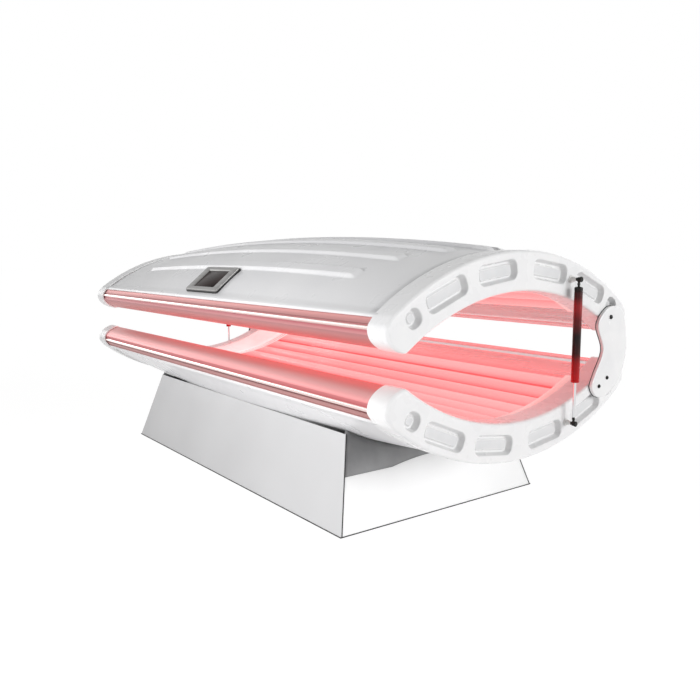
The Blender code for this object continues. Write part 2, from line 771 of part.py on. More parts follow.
def gas_strut(label, end):
    """Strut at one end: its body hangs on the canopy's stud, its rod stands on the tub's stud."""
    top_y, top_z = strut_place(1)
    low_y, low_z = strut_place(-1)
    top = pivot("strut_top_" + label, (end * STRUT_X, top_y, top_z))
    bottom = pivot("strut_bottom_" + label, (end * STRUT_X, low_y, low_z))
    body_end = -STRUT_NECK - STRUT_BODY
    edge = STRUT_EDGE
    tube = [
        (-EYE_RADIUS * 0.8, STRUT_ROD_RADIUS),
        (-STRUT_NECK, STRUT_ROD_RADIUS),
        (-STRUT_NECK, STRUT_RADIUS - edge),
        (-STRUT_NECK - edge, STRUT_RADIUS),
        (body_end + edge, STRUT_RADIUS),
        (body_end, STRUT_RADIUS - edge),
    ]
    red = material("red_black_cylinder", (0.35, 0.02, 0.02, 1), 0.15, 0.6)
    body = eyed_bar("strut_cylinder_" + label, tube, red, top)
    bore_top = body_end + STRUT_ROD_INSERT + STRUT_BORE_SPARE
    bore = turned_z([(body_end - STRUT_NECK, STRUT_BORE), (bore_top, STRUT_BORE)])
    cut(body, finish("strut_bore_" + label, bore, None, top))
    rod_top = top_z + body_end + STRUT_ROD_INSERT - low_z
    rod = [(EYE_RADIUS * 0.8, STRUT_ROD_RADIUS), (rod_top, STRUT_ROD_RADIUS)]
    eyed_bar("strut_rod_" + label, rod, material("bright_rod", (0.85, 0.85, 0.85, 1), 0.1, 1.0), bottom)


def display_strip():
    """Middle (y), slope and depth of the strip between the outermost rib and the hem that the display fills."""
    middle = HEM_Y - DISPLAY_HEM_GAP - DISPLAY_SPAN / 2
    slope = math.asin(middle / shell_radius(DISPLAY_X))
    return middle, slope, DISPLAY_SPAN / math.cos(slope)


def display(parent):
    """Bezel on the roof's front slope, cut to its curve, with a glass and a module sunk in it."""
    middle, slope, depth = display_strip()
    seat = Vector((DISPLAY_X, -middle, level(shell_h(DISPLAY_X, middle), 1)))
    frame = Matrix.Translation(seat - parent.matrix_world.translation) @ Matrix.Rotation(slope, 4, "X")
    glass_size = (DISPLAY_LENGTH - 2 * GLASS_END_MARGIN, depth - 2 * GLASS_SIDE_MARGIN)
    module_size = [side - 2 * MODULE_MARGIN for side in glass_size]

    def plate(size, corner, low, high, bevel=0.0):
        steps = [(low, 0.0), (high - bevel, 0.0)] + ([(high, bevel)] if bevel else [])
        shapes = [(w, offset(rounded_rectangle(*size, corner), -inset)) for w, inset in steps]
        return loft([[Vector((u, v, w)) for u, v in shape] for w, shape in shapes])

    grey = material("silver_bezel", (0.55, 0.55, 0.56, 1), 0.3, 0.7)
    block = plate((DISPLAY_LENGTH, depth), DISPLAY_CORNER, -DISPLAY_RISE, DISPLAY_RISE, DISPLAY_EDGE)
    bezel = finish("display_bezel", block, grey, parent, frame)
    glass_low = DISPLAY_RISE - GLASS_WALL - 2 * FIT
    module_low = glass_low - MODULE_WALL - FIT
    pocket = [side + 2 * FIT for side in glass_size]
    recess = [side + 2 * FIT for side in module_size]
    high = DISPLAY_RISE * 2
    for label, size, low in (("pocket", pocket, glass_low), ("recess", recess, module_low)):
        tool = plate(size, GLASS_CORNER, low - FIT, high)
        cut(bezel, finish("display_" + label, tool, None, parent, frame))
    clear = FIT * 2
    rings = []
    for x in (DISPLAY_X - DISPLAY_LENGTH, DISPLAY_X, DISPLAY_X + DISPLAY_LENGTH):
        breaks = [HEM_Y * i / 24 for i in range(-24, -11)]
        face = [(y, shell_h(x, y) + clear) for y in breaks]
        floor = [(breaks[-1], HEM_H), (breaks[0], HEM_H)]
        rings.append([Vector((x, y, level(h, 1))) for y, h in face + floor])
    cut(bezel, finish("display_seat", loft(rings), None))
    dark = material("display_glass", (0.05, 0.03, 0.03, 1), 0.08)
    finish("display_glass", plate(glass_size, GLASS_CORNER, glass_low, DISPLAY_RISE - FIT), dark, parent, frame)
    board = material("display_module", (0.05, 0.12, 0.07, 1), 0.5)
    card = plate(module_size, GLASS_CORNER, module_low, glass_low - 2 * FIT)
    finish("display_module", card, board, parent, frame)


def pan_z(x, y, inset=0.0):
    """Height of the underbody pan: flat in the middle, swept up to both ends and both sides."""
    share = max(abs(x) - PAN_FLAT_HALF, 0) / (PAN_HALF_LENGTH - PAN_FLAT_HALF)
    floor = PAN_FLOOR + inset + PAN_RISE * share**PAN_SWEEP
    side = max(abs(y) - PAN_FLAT_Y, 0) / (PAN_HALF_WIDTH - inset - PAN_FLAT_Y)
    return PAN_RIM - (PAN_RIM - floor) * math.sqrt(max(1 - side**2, 0))


def pan_block(inset, lid):
    """Filled bowl of the pan's outer or inner face, up to a flat lid."""
    half = PAN_HALF_WIDTH - inset
    turns = [math.sin(math.pi / 2 * i / 5) for i in range(6)]
    ys = [PAN_FLAT_Y + (half - PAN_FLAT_Y) * turn for turn in turns]
    ys = [-y for y in reversed(ys)] + ys
    ends = [PAN_FLAT_HALF + (PAN_HALF_LENGTH - PAN_FLAT_HALF) * i / 5 for i in range(6)]
    rings = []
    for x in [-x for x in reversed(ends)] + ends:
        base = [Vector((x, y, min(pan_z(x, y, inset), lid - FIT))) for y in ys]
        rings.append(base + [Vector((x, half, lid)), Vector((x, -half, lid))])
    return loft(rings)


def hull_block():
    """Space that the tub's shell takes up, with its fit, for cutting what lies against it."""
    rings = []
    for x in shell_stations(False):
        under = [(y, shell_h(x, y) + FIT) for y in shell_breaks(False)]
        rings.append([Vector((x, y, level(h, -1))) for y, h in under])
    return loft(rings)


def underbody_pan():
    """Grey bowl that closes the tub's belly and stands on the cross beams."""
    lid = PAN_RIM + PAN_WALL
    pan = finish("underbody_pan", pan_block(0.0, lid), material("grey_pan", (0.32, 0.32, 0.33, 1), 0.5))
    cut(pan, finish("underbody_hollow", pan_block(PAN_WALL, lid + PAN_WALL), None))
    cut(pan, finish("underbody_hull", hull_block(), None))


def base_half(size, lean, z):
    """Half size of the leaning base at a height."""
    return size / 2 - z * math.tan(lean)


def base_x(z):
    """Half length of the base's outside at a height."""
    return base_half(BASE_LENGTH, BASE_LEAN_END, z)


def base_y(z):
    """Half width of the base's outside at a height."""
    return base_half(BASE_WIDTH, BASE_LEAN_SIDE, z)


def side_panel_top():
    """Height of the long panels' top edge, just under the hull."""
    top = PAN_RIM
    for _ in range(20):
        top = level(shell_h(0, base_y(top)), -1) - SIDE_PANEL_GAP
    return top


def side_panel(name, across):
    """Long leaning sheet of the base, corner to corner."""
    wall = PANEL_WALL / math.cos(BASE_LEAN_SIDE)
    rings = []
    for z in (PANEL_LIFT, side_panel_top()):
        x, y = base_x(z), base_y(z)
        rings.append([
            Vector((sx * x, across * (y - back), z)) for sx, back in ((-1, 0), (1, 0), (1, wall), (-1, wall))
        ])
    return finish(name, loft(rings), material("grey_panel_" + name, (0.62, 0.62, 0.63, 1), 0.35))


def end_panel(name, end):
    """Short leaning sheet of the base between the long ones, hollowed along its top under the pan."""
    wall = PANEL_WALL / math.cos(BASE_LEAN_END)
    side_wall = PANEL_WALL / math.cos(BASE_LEAN_SIDE)

    def half(z):
        return base_y(z) - side_wall - FIT

    def saddle(y):
        z = END_PANEL_SHOULDER
        for _ in range(20):
            belly = pan_z(base_x(z) - wall, min(abs(y), PAN_HALF_WIDTH))
            z = min(belly - END_PANEL_CLEAR, END_PANEL_SHOULDER)
        return z

    steps = 14
    spots = [half(END_PANEL_SHOULDER) * i / steps for i in range(-steps, steps + 1)]
    edge = [(y, saddle(y)) for y in spots]
    outline = [(half(PANEL_LIFT), PANEL_LIFT), (-half(PANEL_LIFT), PANEL_LIFT)] + edge
    rings = []
    for back in (0, wall):
        rings.append([Vector((end * (base_x(z) - back), y, z)) for y, z in outline])
    finish(name, loft(rings), material("white_end_panel", (0.85, 0.85, 0.86, 1), 0.3))


def floor_plate():
    """Tray plate between the panels, on the feet."""
    x = base_x(FLOOR_TOP) - PANEL_WALL / math.cos(BASE_LEAN_END) - FIT
    y = base_y(FLOOR_TOP) - PANEL_WALL / math.cos(BASE_LEAN_SIDE) - FIT
    look = material("zinc_plate", (0.45, 0.45, 0.46, 1), 0.45, 0.8)
    finish("base_floor_plate", box((2 * x, 2 * y, FLOOR_WALL), (0, 0, FLOOR_TOP - FLOOR_WALL / 2)), look)


def rubber_feet():
    """Rubber pads under the floor plate's corners."""
    steps = ((0, FOOT_RADIUS * 0.9), (FOOT_HEIGHT / 3, FOOT_RADIUS), (FOOT_HEIGHT, FOOT_RADIUS))
    look = material("black_rubber", (0.03, 0.03, 0.03, 1), 0.8)
    for label, end in ENDS.items():
        for word, across in SIDES.items():
            corner = (end * (base_x(0) - FOOT_INSET), across * (base_y(0) - FOOT_INSET))
            rings = [[Vector((x, y, z)) for x, y in circle(radius, corner, 16)] for z, radius in steps]
            finish(f"rubber_foot_{word}_{label}", loft(rings), look)


def cross_beam(name, end):
    """Steel tube across the base that carries the pan."""
    low, high = FLOOR_TOP + FIT, PAN_FLOOR - FIT
    size = (BEAM_WIDTH, BEAM_LENGTH, high - low)
    centre = (end * BEAM_X, 0, (low + high) / 2)
    beam = finish(name, box(size, centre), material("black_steel", (0.08, 0.08, 0.08, 1), 0.5, 0.6))
    bore = (BEAM_WIDTH - 2 * BEAM_WALL, BEAM_LENGTH * 2, high - low - 2 * BEAM_WALL)
    cut(beam, finish(name + "_bore", box(bore, centre), None))


def chamfered(maker):
    """Case with all its edges broken."""
    edges = list(maker.edges)
    bmesh.ops.bevel(
        maker, geom=edges, offset=CASE_EDGE, segments=1, affect="EDGES", profile=0.5, material=-1,
    )
    return maker


def ballasts():
    """Lamp ballasts in their cases on the floor plate."""
    for number, (sx, sy) in enumerate(((-1, -1), (1, -1), (-1, 1), (1, 1)), 1):
        centre = (sx * BALLAST_X, sy * BALLAST_Y, FLOOR_TOP + FIT + BALLAST_SIZE[2] / 2)
        case = chamfered(box(BALLAST_SIZE, centre))
        finish(f"ballast_{number}", case, material("ballast_case", (0.5, 0.5, 0.52, 1), 0.4, 0.7))


def control_box():
    """Case of the control electronics between the ballasts."""
    size = (CONTROL_LENGTH, CONTROL_WIDTH, CONTROL_HEIGHT)
    centre = (0, 0, FLOOR_TOP + FIT + CONTROL_HEIGHT / 2)
    look = material("grey_case", (0.25, 0.25, 0.27, 1), 0.5)
    finish("control_box", chamfered(box(size, centre)), look)


def rear_frame(name, x, height):
    """Empty on the rear panel's outer face, its Y axis straight out of the sheet."""
    return pivot(name, (x, base_y(height), height), BASE_LEAN_SIDE)


def along_y(outline, stops, maker=None):
    """Extrude an outline of (x, z) points along Y through the given stops."""
    return loft([[Vector((x, y, z)) for x, z in outline] for y in stops], maker)


def fan(label, end, panel):
    """Cooling fan behind a slotted field of the rear panel: square frame with a spider, and a rotor."""
    seat = rear_frame("fan_axis_" + label, end * FAN_X, FAN_HEIGHT)
    slots = bmesh.new()
    for i in range(VENT_SLOTS):
        z = VENT_PITCH * (i - (VENT_SLOTS - 1) / 2)
        chord = 2 * math.sqrt(FAN_HOLE_RADIUS**2 - z**2) - VENT_SLOT
        box((chord, 6 * PANEL_WALL, VENT_SLOT), (0, 0, z), slots)
    cut(panel, finish("vent_slots_" + label, slots, None, seat))
    front = -PANEL_WALL - FIT
    back = front - FAN_DEPTH
    square = rounded_rectangle(FAN_SIZE, FAN_SIZE, 0.006, 2)
    black = material("black_fan", (0.05, 0.05, 0.05, 1), 0.5)
    case = finish("fan_frame_" + label, along_y(square, (front, back)), black, seat)
    tunnel = along_y(circle(FAN_HOLE_RADIUS, (0, 0), 28), (front + FAN_SPIDER, back + FAN_SPIDER))
    cut(case, finish("fan_tunnel_" + label, tunnel, None, seat))
    tip = FAN_HOLE_RADIUS - FAN_TIP_GAP
    windows = bmesh.new()
    for quarter in range(4):
        outline = quarter_arc(quarter, tip) + quarter_arc(quarter, FAN_HUB_RADIUS)[::-1]
        along_y(outline, (back + FAN_SPIDER * 2, back - FAN_SPIDER), windows)
    cut(case, finish("fan_windows_" + label, windows, None, seat))
    low = back + FAN_SPIDER + FIT
    high = front - FAN_TIP_GAP
    hub = FAN_HUB_RADIUS
    blade_shape = ((0.0, hub), (0.12, tip), (0.24, tip), (0.3, hub), (0.65, hub))
    pitch = 2 * math.pi / FAN_BLADES
    rings = []
    for y, twist in ((low, 0.0), ((low + high) / 2, FAN_TWIST / 2), (high, FAN_TWIST)):
        ring = []
        for blade in range(FAN_BLADES):
            for share, radius in blade_shape:
                turn = pitch * (blade + share) + twist
                ring.append(Vector((radius * math.cos(turn), y, radius * math.sin(turn))))
        rings.append(ring)
    finish("fan_rotor_" + label, loft(rings), material("black_rotor", (0.06, 0.06, 0.06, 1), 0.4), seat)


def quarter_arc(quarter, radius):
    """Arc of (x, z) points between two arms of the fan's spider."""
    trim = math.asin(FAN_ARM / 2 / radius)
    first = math.pi / 2 * quarter + trim
    last = math.pi / 2 * (quarter + 1) - trim
    turns = [first + (last - first) * i / 5 for i in range(6)]
    return [(radius * math.cos(t), radius * math.sin(t)) for t in turns]


def mains_inlet(panel):
    """Flanged inlet through the rear panel with a socket and a rocker switch beside it."""
    seat = rear_frame("inlet_seat", 0.0, INLET_HEIGHT)
    body = [side - 2 * INLET_BODY_INSET for side in INLET_SIZE]
    opening = rounded_rectangle(body[0] + 2 * FIT, body[1] + 2 * FIT, 0.003, 2)
    cut(panel, finish("inlet_opening", along_y(opening, (-4 * PANEL_WALL, 4 * PANEL_WALL)), None, seat))
    flange = rounded_rectangle(*INLET_SIZE, 0.004, 3)
    sleeve = rounded_rectangle(*body, 0.003, 3)
    rings = [
        (flange, FIT + INLET_FLANGE), (flange, FIT), (sleeve, FIT), (sleeve, -INLET_BODY_DEPTH),
    ]
    black = material("black_inlet", (0.04, 0.04, 0.04, 1), 0.45)
    body_shape = loft([[Vector((x, y, z)) for x, z in shape] for shape, y in rings])
    inlet = finish("power_inlet", body_shape, black, seat)
    face = FIT + INLET_FLANGE
    socket = [(x - SOCKET_SHIFT, z) for x, z in rounded_rectangle(*SOCKET_SIZE, 0.003, 2)]
    mouth = along_y(socket, (face - SOCKET_DEPTH, face + SOCKET_DEPTH))
    cut(inlet, finish("inlet_socket", mouth, None, seat))
    room = (SWITCH_SIZE[0] + 2 * RUN, SWITCH_SIZE[1] + 2 * SWITCH_CLEAR)
    well = [(x + SWITCH_SHIFT, z) for x, z in rounded_rectangle(*room, 0.001, 1)]
    well_floor = face - SWITCH_BODY - SWITCH_RISE
    cut(inlet, finish("inlet_switch_well", along_y(well, (well_floor, face + SWITCH_BODY)), None, seat))
    axis = pivot("switch_axis", (SWITCH_SHIFT, face, 0), 0.0, seat)
    tall = SWITCH_SIZE[1] / 2
    profile = [
        (-tall, SWITCH_RISE),
        (0.0, SWITCH_RISE / 2),
        (tall, SWITCH_RISE),
        (tall * 0.9, -SWITCH_RISE / 2),
        (tall * 0.25, -SWITCH_BODY),
        (-tall * 0.25, -SWITCH_BODY),
        (-tall * 0.9, -SWITCH_RISE / 2),
    ]
    tilt = Matrix.Rotation(SWITCH_TILT, 3, "X")
    half = SWITCH_SIZE[0] / 2
    rings = [[tilt @ Vector((x, y, z)) for z, y in profile] for x in (-half, half)]
    finish("power_switch", loft(rings), material("red_rocker", (0.6, 0.03, 0.03, 1), 0.3), axis)


def lamp_half(word, side, parent):
    """Tub or canopy: shell, rails, end caps, strut studs, reflector, lamps and acrylic."""
    shell(word + "_shell", side, side > 0, parent)
    for label, across in SIDES.items():
        side_rail(f"{word}_{label}_rail", across, side, parent)
    for label, end in ENDS.items():
        end_cap(f"{word}_end_cap_{label}", end, side, parent)
        strut_stud(f"{word}_strut_stud_{label}", end, side, parent)
    reflector(word + "_reflector", side, parent)
    lamp_bank(word + "_lamp_bank", side, parent)
    acrylic("canopy_acrylic" if side > 0 else "bed_acrylic", side, parent)


def base():
    """Leaning sheet-metal base with the pan, the beams, the electrics and the fans."""
    side_panel("base_front_panel", -1)
    rear = side_panel("base_rear_panel", 1)
    for label, end in ENDS.items():
        end_panel("base_end_panel_" + label, end)
        cross_beam("base_cross_beam_" + label, end)
        fan(label, end, rear)
    mains_inlet(rear)
    floor_plate()
    rubber_feet()
    ballasts()
    control_box()
    underbody_pan()


def main():
    """Build the whole bed with its canopy closed."""
    clear_scene()
    hinge_y, hinge_z = pivot_place()
    canopy = pivot("canopy_hinge", (0, hinge_y, hinge_z))
    bpy.context.view_layer.update()
    base()
    lamp_half("lower", -1, None)
    lamp_half("upper", 1, canopy)
    display(canopy)
    for label, end in ENDS.items():
        hinge_plate("hinge_plate_" + label, end)
        hinge_pin("hinge_pin_" + label, end, canopy)
        gas_strut(label, end)
        for number, place in enumerate(screw_places(), 1):
            hinge_screw(f"hinge_screw_{number}_{label}", end, place)


main()
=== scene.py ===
import logging
import math
from dataclasses import dataclass
from enum import Enum
from typing import Callable, Sequence

import bmesh
import bpy
from bmesh.types import BMEdge, BMesh, BMVert
from mathutils import Matrix, Vector


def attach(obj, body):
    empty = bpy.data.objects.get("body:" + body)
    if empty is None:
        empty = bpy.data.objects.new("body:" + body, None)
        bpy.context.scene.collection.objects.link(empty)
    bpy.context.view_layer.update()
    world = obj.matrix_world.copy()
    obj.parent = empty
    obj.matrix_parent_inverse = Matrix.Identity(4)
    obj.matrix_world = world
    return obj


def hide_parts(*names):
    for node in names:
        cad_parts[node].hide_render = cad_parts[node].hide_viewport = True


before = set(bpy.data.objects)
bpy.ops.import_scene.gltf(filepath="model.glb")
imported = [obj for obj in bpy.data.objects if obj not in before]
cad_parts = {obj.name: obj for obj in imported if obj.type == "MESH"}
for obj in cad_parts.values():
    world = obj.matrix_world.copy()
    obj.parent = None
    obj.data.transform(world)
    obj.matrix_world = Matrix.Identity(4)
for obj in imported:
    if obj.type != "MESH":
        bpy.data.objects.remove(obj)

LOG = logging.getLogger("light_bed")
MM_PER_M = 1000
# Vertices that lie closer together than this, in metres, count as one.
SEAM = 1e-5
ALONG = Vector((1, 0, 0))
UP = Vector((0, 0, 1))
Point = tuple[float, float]


class Half(Enum):
    """The two lamp halves of the bed; the value is the way their crowns face."""

    TUB = -1
    CANOPY = 1

    @property
    def body(self) -> str:
        """Name of the CAD body that the half rides on."""
        return "canopy" if self is Half.CANOPY else "base"

    @property
    def word(self) -> str:
        """How the CAD nodes of the half begin."""
        return "upper" if self is Half.CANOPY else "lower"

    @property
    def title(self) -> str:
        """How the scene's pieces of the half begin."""
        return self.name.lower()


class End(Enum):
    """The two ends of the bed; the value is the sign of X."""

    FAR = -1
    NEAR = 1

    @property
    def word(self) -> str:
        """How the CAD nodes of the end finish."""
        return self.name.lower()


class Side(Enum):
    """The two long sides of the bed; the value is the sign of Y."""

    FRONT = -1
    REAR = 1

    @property
    def word(self) -> str:
        """How the CAD nodes of the side are called."""
        return self.name.lower()


# Finishes


def linear(code: str) -> tuple[float, float, float, float]:
    """Turns an sRGB hex colour into linear light.

    Args:
        code: Colour such as "#f2f2f2".

    Returns:
        Red, green, blue and alpha.
    """
    channels = [int(code[i:i + 2], 16) / 255 for i in (1, 3, 5)]
    red, green, blue = (c / 12.92 if c <= 0.04045 else ((c + 0.055) / 1.055) ** 2.4 for c in channels)
    return red, green, blue, 1.0


def add_node(
    tree: bpy.types.NodeTree, kind: str, inputs: dict[str | int, object] | None = None, **settings: object
) -> bpy.types.Node:
    """Adds one node with its settings and links.

    Args:
        tree: Node tree that takes the node.
        kind: Blender's name of the node type.
        inputs: Value, or socket to link from, for each named or numbered input.
        settings: Properties of the node itself.

    Returns:
        The new node.
    """
    node = tree.nodes.new(kind)
    for key, value in settings.items():
        setattr(node, key, value)
    for key, value in (inputs or {}).items():
        if isinstance(value, bpy.types.NodeSocket):
            tree.links.new(value, node.inputs[key])
        else:
            node.inputs[key].default_value = value
    return node


@dataclass(frozen=True)
class Canvas:
    """Node tree of a material, with its shader and the coordinates that patterns are drawn on."""

    tree: bpy.types.NodeTree
    shader: bpy.types.Node
    coords: bpy.types.NodeSocket
    spread: bpy.types.NodeSocket

    def feed(self, name: str, socket: bpy.types.NodeSocket) -> None:
        """Links a socket to an input of the shader."""
        self.tree.links.new(socket, self.shader.inputs[name])

    def noise(self, size_mm: float, detail: float) -> bpy.types.NodeSocket:
        """Adds a cloud of soft patches along the grain, its middle tones spread over the range 0 to 1.

        Args:
            size_mm: Size of a patch.
            detail: How much finer structure the patches have.

        Returns:
            Socket with the pattern.
        """
        pattern = {"Vector": self.spread, "Scale": MM_PER_M / size_mm, "Detail": detail}
        cloud = add_node(self.tree, "ShaderNodeTexNoise", pattern).outputs[0]
        return self.ranged({"Value": cloud, "From Min": 0.3, "From Max": 0.7})

    def ranged(self, inputs: dict[str | int, object]) -> bpy.types.NodeSocket:
        """Maps a value from one range to another, both 0 to 1 where nothing else is given."""
        return add_node(self.tree, "ShaderNodeMapRange", inputs).outputs[0]

    def mix(self, share: object, first: object, second: object) -> bpy.types.NodeSocket:
        """Blends two colours; Blender numbers a mix node's share 0, its colours 6 and 7, and the result 2."""
        blend = {0: share, 6: first, 7: second}
        return add_node(self.tree, "ShaderNodeMix", blend, data_type="RGBA").outputs[2]


@dataclass(frozen=True)
class Finish:
    """A surface: two close tones in soft patches, a roughness that drifts, and a fine grain.

    Sizes are in millimetres. Grain that is too fine to show in the render is drawn as coarse as it needs
    to show. A stretch above 1 makes the pattern finer along that axis.
    """

    name: str
    tone: str
    shade: str
    patch_mm: float
    roughness: tuple[float, float]
    grain_mm: float
    grain_depth_mm: float
    metallic: float = 0.0
    ior: float = 1.5
    coat: float = 0.0
    coat_roughness: float = 0.06
    stretch: tuple[float, float, float] = (1.0, 1.0, 1.0)

    def material(self) -> bpy.types.Material:
        """Makes the material, or finds it where it was made before.

        Returns:
            The material with its nodes.
        """
        found = bpy.data.materials.get(self.name)
        if found:
            return found
        made = bpy.data.materials.new(self.name)
        made.use_nodes = True
        tree = made.node_tree
        coords = add_node(tree, "ShaderNodeTexCoord").outputs["Object"]
        spread = add_node(tree, "ShaderNodeMapping", {"Vector": coords, "Scale": self.stretch}).outputs[0]
        self.wire(Canvas(tree, tree.nodes["Principled BSDF"], coords, spread))
        return made

    def colour(self, canvas: Canvas) -> bpy.types.NodeSocket:
        """Draws the two tones of the surface."""
        return canvas.mix(canvas.noise(self.patch_mm, 2.0), linear(self.tone), linear(self.shade))

    def wire(self, canvas: Canvas) -> None:
        """Links colour, roughness and grain to the shader.

        Args:
            canvas: Node tree and coordinates of the material.
        """
        values = canvas.shader.inputs
        values["Metallic"].default_value = self.metallic
        if not self.metallic:
            values["IOR"].default_value = self.ior
        values["Coat Weight"].default_value = self.coat
        values["Coat Roughness"].default_value = self.coat_roughness
        canvas.feed("Base Color", self.colour(canvas))
        low, high = self.roughness
        drift = canvas.noise(self.patch_mm / 3, 2.0)
        canvas.feed("Roughness", canvas.ranged({"Value": drift, "To Min": low, "To Max": high}))
        grain = canvas.noise(self.grain_mm, 0.0)
        bump = {"Height": grain, "Distance": self.grain_depth_mm / MM_PER_M, "Strength": 1.0}
        canvas.feed("Normal", add_node(canvas.tree, "ShaderNodeBump", bump).outputs[0])


@dataclass(frozen=True)
class Glow(Finish):
    """A surface that gives light, brightest towards the person, by its distance from the bed's long axis: the
    tubes' own light, and painted glow on the parts round them.
    """

    strength: float = 1.0
    axis_height: float = 0.0
    inner_radius: float = 0.0
    outer_radius: float = 1.0

    def wire(self, canvas: Canvas) -> None:
        """Adds the glow to the plain finish, from the tone inside to the shade outside.

        Args:
            canvas: Node tree and coordinates of the material.
        """
        super().wire(canvas)
        across = {"Vector": canvas.coords, "Location": -self.axis_height * UP, "Scale": (0, 1, 1)}
        flat = add_node(canvas.tree, "ShaderNodeMapping", across).outputs[0]
        reach = add_node(canvas.tree, "ShaderNodeVectorMath", {0: flat}, operation="LENGTH").outputs["Value"]
        share = canvas.ranged({"Value": reach, "From Min": self.inner_radius, "From Max": self.outer_radius})
        canvas.feed("Emission Color", canvas.mix(share, linear(self.tone), linear(self.shade)))
        canvas.shader.inputs["Emission Strength"].default_value = self.strength

    def material(self) -> bpy.types.Material:
        """Makes the material; its light is weak and wide, so it is found by bounces alone.

        Returns:
            The material with its nodes.
        """
        made = super().material()
        made.cycles.emission_sampling = "NONE"
        return made


@dataclass(frozen=True)
class ClearSheet(Finish):
    """A clear sheet that shows what lies behind it under its own gloss."""

    veil: float = 0.2

    def wire(self, canvas: Canvas) -> None:
        """Adds the see-through to the plain finish."""
        super().wire(canvas)
        canvas.shader.inputs["Alpha"].default_value = self.veil


@dataclass(frozen=True)
class PaintedLightBands(Finish):
    """A surface whose colour changes with height in soft bands of painted light, shade and reflection."""

    cover: float = 0.85
    stops: tuple[tuple[float, str], ...] = ()

    def colour(self, canvas: Canvas) -> bpy.types.NodeSocket:
        """Draws the bands of painted light, shade and reflection over the plain finish's patches.

        Args:
            canvas: Node tree and coordinates of the material.

        Returns:
            Socket with the colour.
        """
        low, high = self.stops[0][0], self.stops[-1][0]
        height = add_node(canvas.tree, "ShaderNodeSeparateXYZ", {0: canvas.coords}).outputs["Z"]
        share = canvas.ranged({"Value": height, "From Min": low, "From Max": high})
        ramp = add_node(canvas.tree, "ShaderNodeValToRGB", {0: share})
        ramp.color_ramp.interpolation = "EASE"
        elements = ramp.color_ramp.elements
        while len(elements) < len(self.stops):
            elements.new(0.5)
        for element, (place, code) in zip(elements, self.stops):
            element.position = (place - low) / (high - low)
            element.color = linear(code)
        return canvas.mix(self.cover, super().colour(canvas), ramp.outputs[0])


# Pattern of an extrusion or a brushed part, drawn out along the bed.
DRAWN = (0.02, 1.0, 1.0)
# Vacuum-formed ABS skin: even grey-white gloss, with slow waves in the highlights from forming.
SHELL_ABS = Finish("vacuum_formed_abs", "#efeff0", "#e8e8ea", 320, (0.26, 0.34), 90, 0.10, ior=1.42)
# Injection-moulded ABS: the whitest part, glossy, with a trace of mould texture.
CAP_ABS = Finish("moulded_abs", "#f7f7f7", "#f2f2f3", 140, (0.24, 0.32), 12, 0.002, ior=1.34)
# The pockets' floors keep the mould's spark-eroded texture and are matt; their tone is the same white painted
# a shade greyer, as painted shade in the pockets.
POCKET_FLOOR_PAINTED_SHADE = Finish("textured_moulded_abs", "#e6e6e7", "#dedfe0", 60, (0.5, 0.6), 3, 0.03)
# Drawn and polished aluminium with its colour painted in bands by height: a painted rose reflection of the
# lamps' spill at the gap, paler to the hem, and painted shade in the groove between and under the hem.
CANOPY_RAIL_PAINTED_LIGHT = PaintedLightBands(
    "polished_aluminium_canopy_rail", "#d49b9a", "#c68c8b", 40, (0.40, 0.50), 5, 0.01, 0.65, stretch=DRAWN,
    stops=(
        (0.520, "#cf9a98"), (0.530, "#d08f8d"), (0.545, "#c98786"), (0.558, "#b77b7d"), (0.568, "#a1545c"),
        (0.580, "#a35d61"), (0.583, "#8e5a59"), (0.585, "#bb8180"), (0.596, "#c08785"), (0.600, "#a97473"),
    ),
)
# The same extrusion under the tub, its colour painted in bands by height: its rounded top carries a painted
# rose reflection of the lamps, its outer face stays nearly silver, with painted shade in the groove and along
# the hull's hem.
TUB_RAIL_PAINTED_LIGHT = PaintedLightBands(
    "polished_aluminium_tub_rail", "#e0a8a6", "#d49c9a", 40, (0.40, 0.50), 5, 0.01, 0.65, stretch=DRAWN,
    stops=(
        (0.359, "#9c6f6d"), (0.364, "#b98684"), (0.375, "#b37f7d"), (0.378, "#7f504f"), (0.392, "#b04a50"),
        (0.398, "#c06468"), (0.408, "#d28d8d"), (0.422, "#d9a5a4"), (0.432, "#d99c9a"), (0.440, "#d59290"),
    ),
)
# The rear extrusions face the lamps squarely: a brighter polish that mirrors their rose in long soft streaks.
REAR_RAIL = Finish(
    "polished_aluminium_rear_rail", "#f1f3f4", "#e6e9ea", 40, (0.22, 0.30), 5, 0.01, 0.92, stretch=DRAWN
)
# The buffed bead of the same extrusion: nearly a mirror, paler than the faces, with a faint rose tint that is
# a painted reflection of the lamps.
BEAD_METAL = Finish(
    "buffed_aluminium_bead", "#f4e0dc", "#ecd3cf", 40, (0.22, 0.30), 5, 0.005, 1.0, stretch=DRAWN
)
# Cast acrylic sheet: clear, with a wet gloss and the faintest rose veil from the lamps.
BED_ACRYLIC = ClearSheet(
    "cast_acrylic", "#ffdcd9", "#ffd0cd", 200, (0.04, 0.09), 90, 0.02, ior=1.49, veil=0.09
)
# Gloss paint on a steel plate: white, with a slight orange peel.
PLATE_PAINT = Finish("white_gloss_paint", "#f6f6f6", "#f0f0f1", 60, (0.18, 0.28), 3, 0.02, coat=0.3)
# Black oxide steel: near black with a dull metal sheen and worn paler spots.
BLACK_STEEL = Finish("black_oxide_steel", "#161616", "#262524", 6, (0.28, 0.45), 1.5, 0.01, 0.7)
# White nylon: soft white, hardly glossy.
NYLON = Finish("white_nylon", "#f0efed", "#e6e5e2", 12, (0.35, 0.5), 1.5, 0.01)
# Hard chrome: a bright mirror with faint marks along the stroke.
CHROME = Finish("hard_chrome", "#e9e9ea", "#d5d6d8", 8, (0.05, 0.12), 2, 0.003, 1.0, stretch=(1, 1, 0.05))
